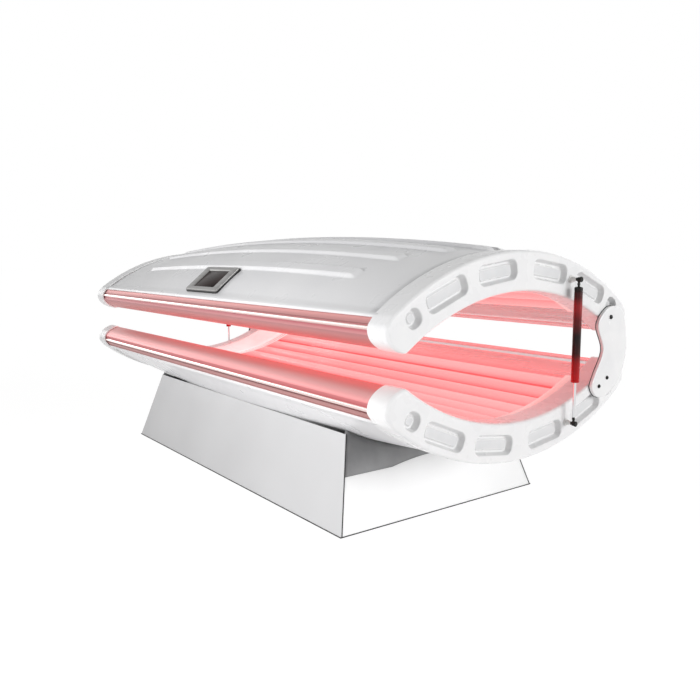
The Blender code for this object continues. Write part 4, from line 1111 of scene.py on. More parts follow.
@dataclass
class LampDeck:
    """What lights one half: mirror sheet, row of tubes with their end bars, and the clear sheet over them."""

    half: Half
    seated: float = 0.870
    bar_face: float = 0.885
    bar_depth: float = 0.030
    bar_margin: float = math.radians(1.8)
    bar_rim: float = 0.0015
    bar_lift: float = 0.007
    bar_round: float = 0.002
    fold: float = 0.006
    fold_turn: float = math.radians(0.7)
    lamp_stop: float = math.radians(2.5)
    mirror_end: float = 0.899
    mirror_wall: float = 0.0015
    head_edge: float = -0.66
    head_wall: float = 0.0016
    head_gap: float = 0.0004
    head_rest: float = 0.0002
    head_skin: float = 0.0008
    head_margin: float = 0.004
    seam_pitch: float = 0.020
    seam_steps: tuple[tuple[float, int], ...] = ((0.0, 1), (0.0004, 0), (0.0028, 0), (0.0032, 1))
    seam_land: float = 0.016
    sheet_gap: float = 0.0003
    sheet_steps: int = 60

    def lamp_angle(self, number: float) -> float:
        """Angle from the crown of a lamp, or of a place between lamps."""
        return FORM.lamp_spread * (2 * number / (FORM.lamp_count - 1) - 1)

    def glow(self, name: str, lit: str, dim: str, strength: float, inner: float, outer: float) -> Glow:
        """Finish of a glowing surface about this half's axis: the tubes' own light, or painted glow on the
        parts round them.

        Args:
            name: Name of the material.
            lit: Colour at the inner radius.
            dim: Colour at the outer radius.
            strength: Strength of the light.
            inner: Radius towards the person.
            outer: Radius away from the person.

        Returns:
            The finish.
        """
        return Glow(
            f"{name}_{self.half.title}", lit, dim, 120, (0.12, 0.22), 30, 0.01, stretch=(0.05, 1, 1),
            strength=strength, axis_height=FORM.axis_height(self.half),
            inner_radius=inner, outer_radius=outer,
        )

    def on_arc(self, x: float, angle: float, radius: float) -> Vector:
        """Point of this half at x on a circle about the long axis."""
        return FORM.place(x, *FORM.arc_point(angle, radius), self.half)

    def arc_steps(self, half_width: float, radius: float) -> list[float]:
        """Even angles across a sheet of the deck."""
        spread = math.asin(half_width / radius)
        return [spread * (2 * i / self.sheet_steps - 1) for i in range(self.sheet_steps + 1)]

    def mirror(self) -> None:
        """Lays the mirror sheet with a fold between each two lamps."""
        spread = math.asin(FORM.ledge_y / (FORM.reflector_radius + self.mirror_wall))
        stops = {spread, -spread}
        for number in range(FORM.lamp_count + 1):
            middle = self.lamp_angle(number - 0.5)
            stops |= {middle + self.fold_turn * share for share in (-1, -0.5, 0, 0.5, 1)}
            stops |= {middle + self.lamp_stop}
        stops = sorted(stop for stop in stops if abs(stop) <= spread)

        def spot(x: float, angle: float) -> Vector:
            """Point of the sheet, raised at a fold.

            Args:
                x: Place along the bed.
                angle: Angle from the crown.

            Returns:
                The point in the row frame.
            """
            number = (angle / FORM.lamp_spread + 1) / 2 * (FORM.lamp_count - 1) + 0.5
            off = abs(number - round(number)) * (self.lamp_angle(1) - self.lamp_angle(0))
            lift = self.fold * max(1 - off / self.fold_turn, 0)
            return self.on_arc(x, angle, FORM.reflector_radius - lift)

        bm = bmesh.new()
        xs = [self.mirror_end * i / 6 for i in range(-6, 7)]
        curved_sheet(bm, xs, stops, spot, -self.half.value)
        inner = FORM.reflector_radius - self.fold
        # Bright-rolled aluminium behind the lamps, drawn as a warm rose surface with a painted glow all over
        # in place of the lamps' reflection.
        finish = self.glow("lamp_mirror", "#ea787a", "#d4555a", 0.55, inner, FORM.reflector_radius)
        seat = Seat(self.half.body, "reflector", (self.half.word + "_reflector",))
        settle(self.half.title + "_lamp_mirror", bm, [finish], seat, 20, self.mirror_wall)

    def tubes(self) -> None:
        """Makes the glowing tubes."""
        bm = bmesh.new()
        radius = FORM.lamp_radius
        profile = [(-self.seated, 0.0), (-self.seated, radius), (self.seated, radius), (self.seated, 0.0)]
        for number in range(FORM.lamp_count):
            turn(bm, profile, self.on_arc(0, self.lamp_angle(number), FORM.lamp_circle), ALONG, 24)
        # Phosphor-coated glass, lit: pale rose towards the person, deeper red towards the mirror.
        finish = self.glow(
            "red_lamp_glass", "#fbb0b0", "#dc5c60", 0.80, FORM.lamp_circle - radius, FORM.lamp_circle + radius
        )
        seat = Seat(self.half.body, "red_lamp", (self.half.word + "_lamp_bank",))
        settle(self.half.title + "_lamp_tubes", bm, [finish], seat, 40)

    def bars(self) -> None:
        """Makes the curved end bars that hold the tubes."""
        spread = FORM.lamp_spread + self.bar_margin
        turns = [spread * (2 * i / 40 - 1) for i in range(41)]
        inner = FORM.lamp_circle - FORM.lamp_radius - self.bar_rim
        section = [FORM.arc_point(t, inner) for t in turns]
        section += [FORM.arc_point(t, FORM.reflector_radius - self.bar_lift) for t in reversed(turns)]
        bm = bmesh.new()
        for end in End:
            places = (end.value * (self.bar_face - self.bar_depth), end.value * self.bar_face)
            stack(bm, [FORM.ring(section, x, self.half) for x in places])
        soften(bm, 40, self.bar_round, 3)
        # White nylon end bars with a pale rose painted glow all over for the lamps' light.
        finish = self.glow("white_nylon_painted_glow", "#ffe6e3", "#ffd3cf", 0.35, inner, FORM.reflector_radius)
        seat = Seat(self.half.body, "red_lamp")
        settle(self.half.title + "_lamp_bars", bm, [finish], seat, 35)

    def head_cover(self) -> None:
        """Lays the pale plate that hides the lamps' sockets at the far end, with two seams by its edge."""
        face = FORM.acrylic_radius - self.head_gap
        heights = {-FORM.half_length: 1}
        for start in (self.head_edge - self.seam_pitch, self.head_edge):
            heights |= {start + step: height for step, height in self.seam_steps}
        heights[self.head_edge + self.seam_land] = 1

        def spot(x: float, angle: float) -> Vector:
            """Point of the plate's upper face."""
            return self.on_arc(x, angle, face - self.head_wall * heights[x] - self.head_rest)

        bm = bmesh.new()
        turns = self.arc_steps(FORM.lip_y - self.head_margin, FORM.acrylic_radius)
        curved_sheet(bm, list(heights), turns, spot, -self.half.value)
        # Faces down in the seams get the seam finish, painted shade for the grooves.
        for item in bm.faces:
            low = min(heights[min(heights, key=lambda place: abs(place - vert.co.x))] for vert in item.verts)
            item.material_index = 0 if low else 1
        # Opal acrylic over the lamps' sockets: white, with a faint rose painted glow for the lamps' light.
        finish = self.glow("opal_acrylic_painted_glow", "#ffeceb", "#ffe2e0", 0.42, face - self.head_wall, face)
        seat = Seat(self.half.body, "clear_acrylic")
        settle(self.half.title + "_head_cover", bm, [finish, SEAM_SHADE], seat, 20, self.head_skin)

    def cover(self) -> None:
        """Lays the clear sheet over the lamps."""

        def spot(x: float, angle: float) -> Vector:
            """Point of the sheet's face towards the person."""
            return self.on_arc(x, angle, FORM.acrylic_radius)

        bm = bmesh.new()
        turns = self.arc_steps(FORM.lip_y - self.sheet_gap, FORM.acrylic_radius + FORM.acrylic_wall)
        curved_sheet(bm, [-FORM.sheet_end, 0.0, FORM.sheet_end], turns, spot, -self.half.value)
        node = "canopy_acrylic" if self.half is Half.CANOPY else "bed_acrylic"
        seat = Seat(self.half.body, "clear_acrylic", (node,))
        settle(self.half.title + "_clear_sheet", bm, [BED_ACRYLIC], seat, 30, FORM.acrylic_wall)

    def dress(self) -> None:
        """Makes all pieces of the deck."""
        self.mirror()
        self.tubes()
        self.bars()
        self.cover()
        if self.half is Half.TUB:
            self.head_cover()


@dataclass
class Hinge:
    """Banana-shaped plate at one end, screwed to the tub, with the pin that carries the canopy."""

    end: End
    pin: Point = (0.359338, 0.565301)
    screws: tuple[Point, ...] = ((0.316210, 0.372253), (0.353242, 0.393290))
    lobe: float = 0.056
    bow: float = 0.083
    wall: float = 0.010
    edge: float = 0.003
    gap: float = 0.0003
    gasket_edge: float = 0.0012
    gasket_wall: float = 0.0016
    gasket_land: float = 0.004
    bite: float = 0.011
    bolt: Point = (0.0062, 0.0035)
    screw: Point = (0.0055, 0.003)

    def ring(self, loop: Sequence[Point], x: float) -> list[Vector]:
        """Puts an outline at a distance from the middle of the bed."""
        return [Vector((self.end.value * x, y, z)) for y, z in loop]

    def outline(self) -> list[Point]:
        """Curve round the plate.

        Returns:
            (y, z) points.
        """
        py, pz = self.pin
        ly = sum(place[0] for place in self.screws) / len(self.screws)
        lz = sum(place[1] for place in self.screws) / len(self.screws)
        rear, mid = max(py, ly), (pz + lz) / 2
        a, b = self.lobe, self.bow
        return smooth_loop([
            (py - a * 0.39, pz + a * 0.39), (py - a, pz - a * 0.39), (py - a / 2, mid),
            (ly - a * 0.64, lz + a * 0.46), (ly - a * 0.89, lz - a * 0.21), (ly - a * 0.36, lz - a * 0.75),
            (ly + a * 0.57, lz - a * 0.64), (rear + b * 0.70, lz + a * 0.11),
            (rear + b * 0.99, mid - a * 0.54), (rear + b, mid + a * 0.54),
            (rear + b * 0.75, pz + a * 0.11), (py + a * 0.39, pz + a * 0.54),
        ], 10)

    def plate(self) -> None:
        """Makes the plate with a rounded outer edge."""
        bm = bmesh.new()
        loop = self.outline()
        inner = FORM.cap_end + self.gap
        brow = inner + self.wall - self.edge
        steps = [(0.0, inner), (0.0, brow)] + [(down, brow + out) for out, down in fillet(self.edge, 5)]
        stack(bm, [self.ring(offset(loop, -inset), x) for inset, x in steps])
        seat = Seat("base", "white_plate", (f"hinge_plate_{self.end.word}",))
        settle(f"hinge_web_{self.end.word}", bm, [PLATE_PAINT], seat, 35)

    def gasket(self) -> None:
        """Makes the thin dark gasket round the plate's foot, which stands in for the shadow gap there."""
        bm = bmesh.new()
        outer, inner = offset(self.outline(), self.gasket_edge), offset(self.outline(), -self.gasket_land)
        back = FORM.cap_end + self.gap / 3
        front = back + self.gasket_wall
        first = row = chain(bm, self.ring(outer, back))
        for loop, x in ((outer, front), (inner, front), (inner, back)):
            row = draw_out(bm, row, self.ring(loop, x))
        bmesh.ops.bridge_loops(bm, edges=row_edges(bm, first) + row_edges(bm, row))
        bmesh.ops.recalc_face_normals(bm, faces=bm.faces)
        settle(f"hinge_gasket_{self.end.word}", bm, [RUBBER], Seat("base", "black_rubber"), 35)

    def button(self, name: str, place: Point, radius: float, rise: float, seat: Seat) -> None:
        """Makes a round-headed fixing with a socket in its head.

        Args:
            name: Name of the piece.
            place: (y, z) of its axis.
            radius: Radius of the head.
            rise: Height of the head.
            seat: Where it belongs.
        """
        bm = bmesh.new()
        face = FORM.cap_end + 2 * self.gap + self.wall
        shank, foot = radius * 0.55, -self.bite - self.wall
        profile = [
            (foot, 0.0), (foot, shank), (0.0, shank), (0.0, radius), (rise * 0.45, radius),
            (rise * 0.8, radius * 0.86), (rise * 0.96, radius * 0.66), (rise, radius * 0.5),
            (rise * 0.95, radius * 0.46), (rise * 0.35, radius * 0.42), (rise * 0.35, 0.0),
        ]
        turn(bm, profile, Vector((self.end.value * face, *place)), self.end.value * ALONG, 28)
        settle(name, bm, [BLACK_STEEL], seat, 40)

    def dress(self) -> None:
        """Makes the plate and its fixings."""
        word = self.end.word
        self.plate()
        self.gasket()
        seat = Seat("canopy", "black_fixing", (f"hinge_pin_{word}",))
        self.button(f"hinge_bolt_{word}", self.pin, *self.bolt, seat)
        for number, place in enumerate(self.screws, 1):
            seat = Seat("base", "black_fixing", (f"hinge_screw_{number}_{word}",))
            self.button(f"hinge_button_{number}_{word}", place, *self.screw, seat)


@dataclass
class GasStrut:
    """Gas strut at one end: lacquered barrel on the canopy, chromed plunger on the tub, ball studs."""

    end: End
    x: float = 0.995
    y: float = 0.185088
    top: float = 0.673968
    low: float = 0.286032
    radius: float = 0.011
    neck: float = 0.020
    barrel: float = 0.255
    bore: float = 0.0078
    lid: float = 0.004
    rod_radius: float = 0.004
    rod_top: float = 0.538
    ball: float = 0.0062

    def centre(self, z: float) -> Vector:
        """Point on the strut's axis."""
        return Vector((self.end.value * self.x, self.y, z))

    def socket(self, bm: BMesh, z: float, down: int) -> None:
        """Adds a ball socket with its collar.

        Args:
            bm: Mesh to add to.
            z: Height of the stud.
            down: Sign of Z towards the strut.
        """
        turns = [math.pi * i / 12 for i in range(10)]
        profile = [(-self.ball * math.cos(t), self.ball * math.sin(t)) for t in turns]
        profile += [(0.0085, 0.0030), (0.011, 0.0040), (0.015, 0.0040), (0.015, 0.0032)]
        profile += [(self.neck, 0.0032), (self.neck, 0.0)]
        turn(bm, [(down * along, radius) for along, radius in profile], self.centre(z), UP, 24, index=1)

    def barrel_piece(self) -> None:
        """Makes the lacquered barrel with its neck and socket."""
        bm = bmesh.new()
        start, stop, roof = -self.neck, -self.neck - self.barrel, -self.neck - self.lid
        r = self.radius
        profile = [
            (start + 0.001, 0.0), (start + 0.001, 0.0038), (start, r * 0.72), (start - 0.0006, r * 0.88),
            (start - 0.002, r), (start - 0.010, r), (start - 0.0104, r * 0.96), (start - 0.0112, r * 0.96),
            (start - 0.0116, r), (stop + 0.0086, r), (stop + 0.0080, r * 0.95), (stop + 0.0070, r * 0.95),
            (stop + 0.0064, r), (stop + 0.0016, r), (stop + 0.0004, r * 0.94), (stop, r * 0.88),
            (stop, self.bore), (roof, self.bore), (roof, 0.0),
        ]
        turn(bm, profile, self.centre(self.top), UP, 36)
        self.socket(bm, self.top, -1)
        node = f"strut_cylinder_{self.end.word}"
        seat = Seat(node + "_body", "strut_body", (node,))
        settle(f"strut_barrel_{self.end.word}", bm, [STRUT_LACQUER_PAINTED_REFLECTION, BLACK_STEEL], seat, 35)

    def plunger(self) -> None:
        """Makes the chromed rod with its socket."""
        bm = bmesh.new()
        r, start, stop = self.rod_radius, self.neck - 0.002, self.rod_top - self.low
        profile = [(start, 0.0), (start, r), (stop - 0.001, r), (stop, r * 0.7), (stop, 0.0)]
        turn(bm, profile, self.centre(self.low), UP, 24)
        self.socket(bm, self.low, 1)
        node = f"strut_rod_{self.end.word}"
        seat = Seat(node + "_body", "strut_rod", (node,))
        settle(f"strut_plunger_{self.end.word}", bm, [CHROME, BLACK_STEEL], seat, 35)

    def stud(self, half: Half) -> None:
        """Makes the stud that stands out of a cap into the socket.

        Args:
            half: Half whose cap holds the stud.
        """
        bm = bmesh.new()
        reach = self.x - FORM.cap_end
        profile = [
            (-0.010, 0.0), (-0.010, 0.005), (0.0, 0.005), (0.0, 0.0105), (0.002, 0.0105), (0.0032, 0.009),
            (0.0034, 0.0072), (0.011, 0.0066), (0.0125, 0.005), (reach - 0.007, 0.0046),
            (reach + 0.0052, 0.0046), (reach + 0.0054, 0.0072), (reach + 0.0082, 0.0072),
            (reach + 0.0092, 0.006), (reach + 0.0092, 0.0),
        ]
        z = self.top if half is Half.CANOPY else self.low
        start = Vector((self.end.value * FORM.cap_end, self.y, z))
        turn(bm, profile, start, self.end.value * ALONG, 28)
        for face in bm.faces:
            out = abs(face.calc_center_median().x) - FORM.cap_end
            face.material_index = 1 if out > reach - 0.002 else 0
        seat = Seat(half.body, "black_fixing", (f"{half.word}_strut_stud_{self.end.word}",))
        settle(f"strut_stud_{half.word}_{self.end.word}", bm, [NYLON, BLACK_STEEL], seat, 35)

    def dress(self) -> None:
        """Makes all pieces of the strut."""
        self.barrel_piece()
        self.plunger()
        for half in Half:
            self.stud(half)


@dataclass
class Screen:
    """Control display on the roof's front slope: silver frame round a dark glass."""

    x: float = -0.020
    middle: float = 0.371
    length: float = 0.222
    depth: float = 0.1135
    rise: float = 0.010
    sink: float = 0.008
    corner: float = 0.006
    edge: float = 0.0025
    end_margin: float = 0.038
    side_margin: float = 0.018
    pane_drop: float = 0.0022
    bevel: float = 0.004
    pane_corner: float = 0.003
    pane_gap: float = 0.0006
    gasket_edge: float = 0.0016
    gasket_wall: float = 0.0042

    def local(self) -> Matrix:
        """Frame of the display, its Z axis out of the roof.

        Returns:
            Matrix from the display to the row frame.
        """
        slope = math.asin(self.middle / FORM.shell_radius(self.x))
        seat = FORM.place(self.x, -self.middle, FORM.shell_h(self.x, self.middle), Half.CANOPY)
        return Matrix.Translation(seat) @ Matrix.Rotation(slope, 4, "X")

    def ring(self, length: float, depth: float, corner: float, w: float) -> list[Vector]:
        """Rounded rectangle at a height over the roof, in the row frame."""
        local = self.local()
        return [local @ Vector((u, v, w)) for u, v in rounded_rectangle(length, depth, corner)]

    def frame_piece(self) -> None:
        """Makes the frame: rounded outside, sloped inside."""
        bm = bmesh.new()
        length, depth, brow = self.length, self.depth, self.rise - self.edge
        steps = [(0.0, -self.sink), (0.0, brow)] + [(down, brow + out) for out, down in fillet(self.edge, 4)]
        rings = [
            self.ring(length - 2 * inset, depth - 2 * inset, self.corner - inset / 2, w)
            for inset, w in steps
        ]
        length, depth = length - 2 * self.end_margin, depth - 2 * self.side_margin
        face = self.rise - self.pane_drop
        steps = [(self.bevel, self.rise), (self.bevel - 0.0012, self.rise - 0.0004)]
        steps += [(0.0, face), (0.0, face - 0.003)]
        rings += [
            self.ring(length + 2 * grow, depth + 2 * grow, self.pane_corner + grow / 2, w)
            for grow, w in steps
        ]
        stack(bm, rings)
        seat = Seat("canopy", "silver_bezel", ("display_bezel", "display_module"))
        settle("screen_frame", bm, [BEZEL_METAL], seat, 30)

    def pane(self) -> None:
        """Makes the dark glass with a bevelled edge."""
        bm = bmesh.new()
        length = self.length - 2 * self.end_margin - self.pane_gap
        depth = self.depth - 2 * self.side_margin - self.pane_gap
        face = self.rise - self.pane_drop
        steps = ((0.0, -0.0025), (0.0, -0.0008), (0.0004, -0.0002), (0.001, 0.0))
        stack(bm, [
            self.ring(length - 2 * inset, depth - 2 * inset, self.pane_corner - inset, face + up)
            for inset, up in steps
        ])
        settle("screen_pane", bm, [SCREEN_GLASS_PAINTED_REFLECTION], Seat("canopy", "dark_glass", ("display_glass",)), 30)

    def gasket(self) -> None:
        """Makes the dark gasket that the frame is clamped on, which stands in for the shadow line round the
        frame.
        """
        bm = bmesh.new()
        length, depth = self.length + 2 * self.gasket_edge, self.depth + 2 * self.gasket_edge
        steps = ((0.0, -self.sink / 2), (0.0, self.gasket_wall), (0.001, self.gasket_wall + 0.0004))
        stack(bm, [self.ring(length - inset, depth - inset, self.corner, w) for inset, w in steps])
        settle("screen_gasket", bm, [RUBBER], Seat("canopy", "black_rubber"), 30)

    def dress(self) -> None:
        """Makes the pieces of the display."""
        self.frame_piece()
        self.gasket()
        self.pane()


@dataclass
class Softened:
    """A CAD node's own shape with its sharp edges rounded as a folded or moulded part has them."""

    name: str
    node: str
    slot: str
    finish: Finish
    radius: float = 0.0008
    body: str = "base"
    sharp: float = 35.0

    def build(self) -> BMesh:
        """Copies the node, merges its triangles and rounds its edges.

        Returns:
            The rounded shape.
        """
        bm = bmesh.new()
        bm.from_mesh(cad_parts[self.node].data)
        bmesh.ops.remove_doubles(bm, verts=bm.verts, dist=SEAM)
        bmesh.ops.dissolve_limit(bm, angle_limit=math.radians(1), verts=bm.verts, edges=bm.edges)
        soften(bm, self.sharp, self.radius, 2)
        return bm

    def dress(self) -> None:
        """Finishes the shape in place of its node."""
        seat = Seat(self.body, self.slot, (self.node,))
        settle(self.name, self.build(), [self.finish], seat, 40, even=True)


@dataclass
class BaseStand:
    """Leaning sheet-metal base with its feet and what stands inside it."""

    length: float = 1.408
    width: float = 0.762
    lean_end: float = math.radians(16.4)
    lean_side: float = math.radians(15.5)
    lift: float = 0.006
    top: float = 0.25763
    brow: float = 0.1495
    arch: float = 0.0145
    arch_half: float = 0.5
    wall: float = 0.002
    bend: float = 0.004
    strip: float = 0.0016

    def half_x(self, z: float) -> float:
        """Half length of the base at a height."""
        return self.length / 2 - z * math.tan(self.lean_end)

    def half_y(self, z: float) -> float:
        """Half width of the base at a height."""
        return self.width / 2 - z * math.tan(self.lean_side)

    def front_sheet(self) -> None:
        """Makes the front sheet, bent back at both upright edges."""
        turns = [math.pi / 2 * i / 6 for i in range(7)]

        def spots(z: float) -> list[Vector]:
            """Row of points across the sheet.

            Args:
                z: Height over the floor.

            Returns:
                The points from one end of the bed to the other.
            """
            x, y = self.half_x(z) - self.bend, self.half_y(z) - self.bend
            right = [Vector((x + self.bend * math.sin(t), -y - self.bend * math.cos(t), z)) for t in turns]
            left = [Vector((-spot.x, spot.y, spot.z)) for spot in reversed(right)]
            return left + right

        bm = bmesh.new()
        heights = [self.lift, self.lift + 0.002]
        heights += [self.lift + (self.top - self.lift) * i / 6 for i in range(1, 7)]
        row = chain(bm, spots(heights[0]), closed=False)
        for z in heights[1:]:
            row = draw_out(bm, row, spots(z))
        bm.normal_update()
        if sum(face.normal.y for face in bm.faces) > 0:
            bmesh.ops.reverse_faces(bm, faces=bm.faces)
        seat = Seat("base", "grey_panel", ("base_front_panel",))
        settle("stand_front_sheet", bm, [PANEL_PAINT], seat, 40, self.wall, even=True)

    def end_sheet(self, end: End) -> None:
        """Makes an end sheet, arched in the middle of its upper edge.

        Args:
            end: End of the bed.
        """

        def spot(across: float, up: float) -> Vector:
            """Point of the sheet.

            Args:
                across: Place across the bed, from -1 to 1.
                up: Share of the sheet's height there.

            Returns:
                The point in the row frame.
            """
            top = self.brow + self.arch * max(1 - (across / self.arch_half)**2, 0)
            z = self.lift + up * (top - self.lift)
            return Vector((end.value * self.half_x(z), across * (self.half_y(z) - self.bend), z))

        bm = bmesh.new()
        curved_sheet(bm, [i / 24 for i in range(-24, 25)], [i / 6 for i in range(7)], spot, 1)
        seat = Seat("base", "white_panel", (f"base_end_panel_{end.word}",))
        settle(f"stand_end_sheet_{end.word}", bm, [END_PAINT], seat, 40, self.wall, even=True)

    def edge_strips(self) -> None:
        """Makes the thin rubber strips along the free edges of the sheets."""
        bm = bmesh.new()
        low, high = self.lift, self.top
        corners = [Vector((end, side, 0)) for end, side in ((-1, -1), (1, -1), (1, 1), (-1, 1))]

        def spot(corner: Vector, z: float, back: float) -> Vector:
            """Point on an upright corner, or back from it on the short side."""
            return Vector((corner.x * self.half_x(z), corner.y * (self.half_y(z) - back), z))

        runs = [(spot(corner, low, self.bend), spot(corner, high, self.bend)) for corner in corners]
        pairs = zip(corners, corners[1:] + corners[:1])
        runs += [(spot(first, low, 0), spot(second, low, 0)) for first, second in pairs]
        turns = [math.pi / 5 * i for i in range(10)]
        for start, stop in runs:
            along = (stop - start).normalized()
            side = along.orthogonal().normalized()
            wide = [self.strip * (side * math.cos(t) + along.cross(side) * math.sin(t)) for t in turns]
            stack(bm, [[place + step for step in wide] for place in (start, stop)])
        settle("stand_edge_strips", bm, [RUBBER], Seat("base", "black_rubber"), 50)

    def dress(self) -> None:
        """Makes the sheets, the feet and what stands in the base."""
        self.front_sheet()
        self.edge_strips()
        Softened("stand_rear_sheet", "base_rear_panel", "grey_panel", PANEL_PAINT, 0.0006).dress()
        for end in End:
            self.end_sheet(end)
            beam = f"beam_{end.word}"
            Softened(f"stand_{beam}", f"base_cross_{beam}", "black_steel", TUBE_PAINT).dress()
            for side in Side:
                foot = f"foot_{side.word}_{end.word}"
                Softened(f"stand_{foot}", f"rubber_{foot}", "black_rubber", RUBBER, 0.0015).dress()
        Softened("stand_floor", "base_floor_plate", "zinc_steel", ZINC).dress()
        for number in range(1, 5):
            Softened(f"ballast_case_{number}", f"ballast_{number}", "ballast_case", CASE_METAL).dress()
        Softened("control_case", "control_box", "grey_case", CASE_PLASTIC, 0.001).dress()


@dataclass
class BellyPan:
    """Formed bowl under the tub, swept up to both ends, and the walls that close its ends, grey as painted
    shade for the dim inside of the base.
    """

    stand: BaseStand
    floor: float = 0.100
    flat_half: float = 0.30
    half_length: float = 0.62
    rise: float = 0.1385
    sweep: float = 1.6
    taper: float = 3.0
    flat: float = 0.775
    half_width: float = 0.303
    rim: float = 0.265
    wall: float = 0.003
    web_low: float = 0.130
    web_gap: float = 0.0015

    def share(self, x: float) -> float:
        """How far x lies between the flat middle and the end of the pan."""
        return min(max(abs(x) - self.flat_half, 0) / (self.half_length - self.flat_half), 1.0)

    def width(self, x: float) -> float:
        """Half width of the pan at x, which closes in a round end."""
        return self.half_width * math.sqrt(1 - self.share(x)**self.taper)

    def spot(self, x: float, across: float) -> Vector:
        """Point of the pan's outer face.

        Args:
            x: Place along the bed.
            across: Place across the pan, from -1 to 1.

        Returns:
            The point in the row frame.
        """
        low = self.floor + self.rise * self.share(x)**self.sweep
        side = max(abs(across) - self.flat, 0) / (1 - self.flat)
        drop = (self.rim - low) * math.sqrt(max(1 - side**2, 0))
        return Vector((x, across * self.width(x), self.rim - drop))

    def bowl(self) -> None:
        """Makes the pan."""
        bm = bmesh.new()
        xs = [self.half_length * math.sin(math.pi / 2 * i / 44) for i in range(-44, 45)]
        edge = [self.flat + (1 - self.flat) * math.sin(math.pi / 2 * i / 14) for i in range(15)]
        ys = [-y for y in reversed(edge)] + [self.flat * i / 4 for i in range(-3, 4)] + edge
        curved_sheet(bm, xs, ys, self.spot, -1)
        bmesh.ops.remove_doubles(bm, verts=bm.verts, dist=SEAM)
        seat = Seat("base", "grey_pan", ("underbody_pan",))
        settle("belly_pan", bm, [PAN_PAINTED_SHADE], seat, 40, self.wall)

    def web(self, end: End) -> None:
        """Makes the wall that closes the pan's end between the end sheet and the hull, a grey sheet that
        stands in for the shade inside the base.

        Args:
            end: End of the bed.
        """

        def spot(across: float, up: float) -> Vector:
            """Point of the wall, found in a few rounds because the hull's height depends on it.

            Args:
                across: Place across the bed, from -1 to 1.
                up: Share of the wall's height there.

            Returns:
                The point in the row frame.
            """
            z = self.web_low
            for _ in range(12):
                x = self.stand.half_x(z) - self.stand.wall - self.web_gap
                y = across * (self.stand.half_y(z) - self.stand.wall - self.web_gap)
                top = FORM.place(x, y, FORM.shell_h(x, y), Half.TUB).z - self.web_gap
                z = self.web_low + up * (top - self.web_low)
            return Vector((end.value * x, y, z))

        bm = bmesh.new()
        curved_sheet(bm, [i / 20 for i in range(-20, 21)], [i / 6 for i in range(7)], spot, 1)
        settle(f"belly_web_{end.word}", bm, [PAN_PAINTED_SHADE], Seat("base", "grey_pan"), 40, self.wall)

    def dress(self) -> None:
        """Makes the pan and its end walls."""
        self.bowl()
        for end in End:
            self.web(end)


@dataclass
class RearServices:
    """Cooling fans, mains inlet and rocker switch in the rear sheet, with the screws that hold them."""

    stand: BaseStand
    height: float = 0.080
    fan_x: float = 0.340
    fan_hole: float = 0.0357
    inlet_hole: float = 0.0345
    inlet_flange: float = 0.0034
    service_x: float = 0.560
    service_height: float = 0.205

    def screw(self, bm: BMesh, x: float, up: float, out: float = 0.0) -> None:
        """Adds a pan-head screw on the rear sheet.

        Args:
            bm: Mesh to add to.
            x: Place along the bed.
            up: Height over the floor.
            out: Distance of its seat from the sheet.
        """
        lean = self.stand.lean_side
        axis = Vector((0, math.cos(lean), math.sin(lean)))
        profile = [
            (-0.0015, 0.0), (-0.0015, 0.002), (0.0, 0.002), (0.0, 0.0042), (0.0011, 0.0040), (0.0019, 0.0030),
            (0.0022, 0.0017), (0.0012, 0.0013), (0.0012, 0.0),
        ]
        turn(bm, profile, Vector((x, self.stand.half_y(up), up)) + axis * out, axis, 20)

    def screws(self) -> None:
        """Makes the screws round the fans, beside the inlet and along the sheet's upper edge."""
        bm = bmesh.new()
        for end in End:
            for side in Side:
                for up in (-1, 1):
                    x = end.value * self.fan_x + side.value * self.fan_hole
                    self.screw(bm, x, self.height + up * self.fan_hole * math.cos(self.stand.lean_side))
            self.screw(bm, end.value * self.inlet_hole, self.height, self.inlet_flange)
            for share in (0.2, 1.0):
                self.screw(bm, end.value * self.service_x * share, self.service_height)
        settle("rear_screws", bm, [BLACK_STEEL], Seat("base", "black_fixing"), 40)

    def dress(self) -> None:
        """Makes the fans, the inlet, the switch and the screws."""
        self.screws()
        for end in End:
            word = end.word
            slot, rotor = "black_plastic", f"fan_rotor_{word}"
            Softened(f"fan_housing_{word}", f"fan_frame_{word}", slot, BLACK_NYLON, 0.0006).dress()
            Softened(f"fan_wheel_{word}", rotor, slot, BLACK_NYLON, 0.0004, rotor + "_body").dress()
        Softened("mains_inlet", "power_inlet", "black_plastic", BLACK_NYLON, 0.0006).dress()
        Softened("mains_rocker", "power_switch", "red_rocker", ROCKER_RED, body="power_switch_body").dress()


# Studio


